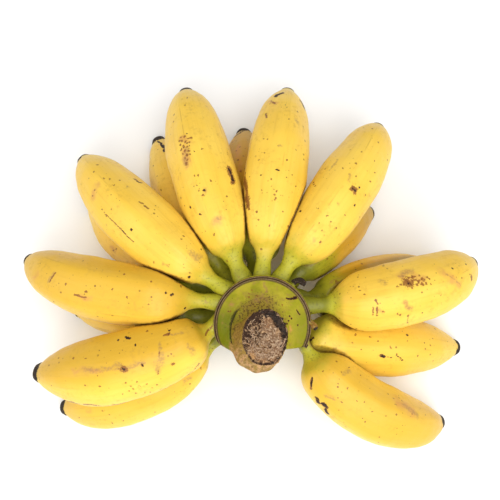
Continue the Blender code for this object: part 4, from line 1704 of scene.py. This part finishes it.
@dataclass
class Stub:
    """A shrivelled finger that never filled out, with a puckered dry end."""

    name: str
    height: float  # of its root, in the crown's frame
    bearing: float
    heading: float
    pitch: float
    length: float
    dry_from: float  # the share of its length where it turns dry
    browned: dict[Blemish, float]  # how much of each blemish covers its end
    curl: float = 0.0
    outline: tuple[Point, ...] = (
        (0.00, 0.0025), (0.35, 0.0018), (0.55, 0.0015), (0.78, 0.0017), (0.92, 0.0013), (1.00, 0.0006),
    )
    closing_rings: int = 6
    root_radius: float = 0.0225
    sides: int = 48
    rings: int = 60
    pucker: float = 0.26

    def build(self, finish: bpy.types.Material) -> bpy.types.Object:
        """Grows the stub and dresses it.

        Args:
            finish: the peel.

        Returns:
            The stub's piece.
        """
        mesh = tube_mesh(self.name, self.sides, self.rings)
        ring, angle = rings_and_angles(mesh, self.rings)
        share, shut = (values[ring] for values in closed_end(self.rings, self.closing_rings, 0.05))
        radius = smooth_curve([s for s, _ in self.outline], [r for _, r in self.outline], share)
        folds = self.pucker * np.cos(3 * angle) + 0.06 * np.cos(7 * angle + 1)
        radius = radius * (1 + share * folds) * shut
        local = np.stack((radius * np.cos(angle), radius * np.sin(angle), share * self.length), axis=1)
        crumpled = 0.00024 * grain(local, 0.0014) * fade(share, 0.25, 0.6)
        steps = np.linspace(0, 1, self.rings)
        heading = np.radians(self.heading + self.curl * fade(steps, 0.30, 0.95))
        ahead, side = ahead_and_side(heading, np.full_like(steps, math.radians(self.pitch)))
        line = np.vstack((np.zeros(3), np.cumsum(ahead[:-1] * self.length / (self.rings - 1), axis=0)))
        root = root_place(self.root_radius, self.bearing, self.height)
        out = read_along(side, share) * np.cos(angle)[:, None]
        out += read_along(np.cross(ahead, side), share) * np.sin(angle)[:, None]
        places = root + read_along(line, share) + out * (radius + crumpled * (shut > 0.5))[:, None]
        set_places(mesh, places)
        set_field(mesh, "skin", local)
        for name in ("crest", "rub_and_crease_shade", "tone"):
            set_field(mesh, name, np.zeros(len(places)))
        set_field(mesh, "green", 1 - fade(share, 0.8, 1.2))
        set_field(mesh, "dry", fade(share, self.dry_from - 0.12, self.dry_from + 0.12))
        for kind in Blemish:
            set_field(mesh, kind.value, fade(share, 0.35, 0.6) * self.browned.get(kind, 0.0))
        return add_piece(f"{self.name}_peel", mesh, finish, "dry_end", self.name)


# Studio -------------------------------------------------------------------------------------------


@dataclass
class Studio:
    """A plain pale floor and soft light, mostly from above and the open front."""

    reach: float = 3.0
    world: float = 0.50
    key: float = 8.2
    top: float = 6.0
    left: float = 3.5
    right: float = 3.0

    def floor(self) -> bpy.types.Object:
        """The pale floor."""
        shape = bmesh.new()
        bmesh.ops.create_grid(shape, x_segments=8, y_segments=8, size=self.reach)
        mesh = mesh_of(shape, "studio_floor")
        mesh.materials.append(FloorFinish().build())
        made = bpy.data.objects.new("studio_floor", mesh)
        bpy.context.scene.collection.objects.link(made)
        return made

    def lamp(self, name: str, place: tuple[float, float, float], size: float, power: float) -> None:
        """A soft square lamp that faces the hand.

        Args:
            name: its name.
            place: where it hangs.
            size: the length of its side.
            power: its power in watts.
        """
        data = bpy.data.lights.new(name, "AREA")
        data.shape, data.size, data.energy = "SQUARE", size, power
        made = bpy.data.objects.new(name, data)
        made.location = place
        made.rotation_euler = (-Vector(place)).to_track_quat("-Z", "Y").to_euler()
        bpy.context.scene.collection.objects.link(made)

    def build(self) -> None:
        """Lays the floor and hangs the lamps."""
        self.floor()
        self.lamp("key_light", (0.14, -0.84, 0.86), 0.9, self.key)
        self.lamp("top_light", (0.12, -0.15, 1.15), 0.8, self.top)
        self.lamp("left_light", (-0.95, -0.10, 0.65), 0.8, self.left)
        self.lamp("right_light", (0.90, -0.35, 0.70), 0.8, self.right)
        scene = bpy.context.scene
        world = bpy.data.worlds.new("studio")
        world.use_nodes = True
        sky = world.node_tree.nodes["Background"]
        sky.inputs["Color"].default_value = (1.0, 0.99, 0.97, 1)
        sky.inputs["Strength"].default_value = self.world
        scene.world = world
        scene.view_settings.view_transform = "Standard"
        scene.view_settings.look = "None"


def main() -> None:
    """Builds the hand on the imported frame, piece by piece."""
    logging.basicConfig(level=logging.INFO, format="%(name)s %(message)s")
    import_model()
    LENS.build()
    Studio().build()
    peel = PeelFinish().build()
    rind = RindFinish().build()
    hand = hand_of_fingers()
    sizes = {Row.UPPER: (160, 310), Row.LOWER: (104, 210)}
    patterns = {row: tube_mesh(f"plain_tube_{row.name.lower()}", *size) for row, size in sizes.items()}
    for finger in hand:
        finger.build(patterns[finger.row], sizes[finger.row][1], hand, peel)
    Crown().build(rind)
    cut = TornCut()
    cut.fibres(FibreFinish("pale_fibres", (0.60, 0.43, 0.28), (0.22, 0.12, 0.065)).build())
    cut.rim_crumbs(FibreFinish("dark_crumbs", (0.050, 0.032, 0.022), (0.014, 0.010, 0.008)).build())
    Stub("withered_stub_1", -0.0050, 50, 62, 14, 0.0135, 0.42, {SC: 0.8, RU: 0.5}, -120).build(peel)
    Stub("withered_stub_2", -0.0020, 9, -34, 15, 0.0098, 0.90, {SC: 1.5, RU: 0.40}, -30).build(peel)


if __name__ == "__main__":
    main()
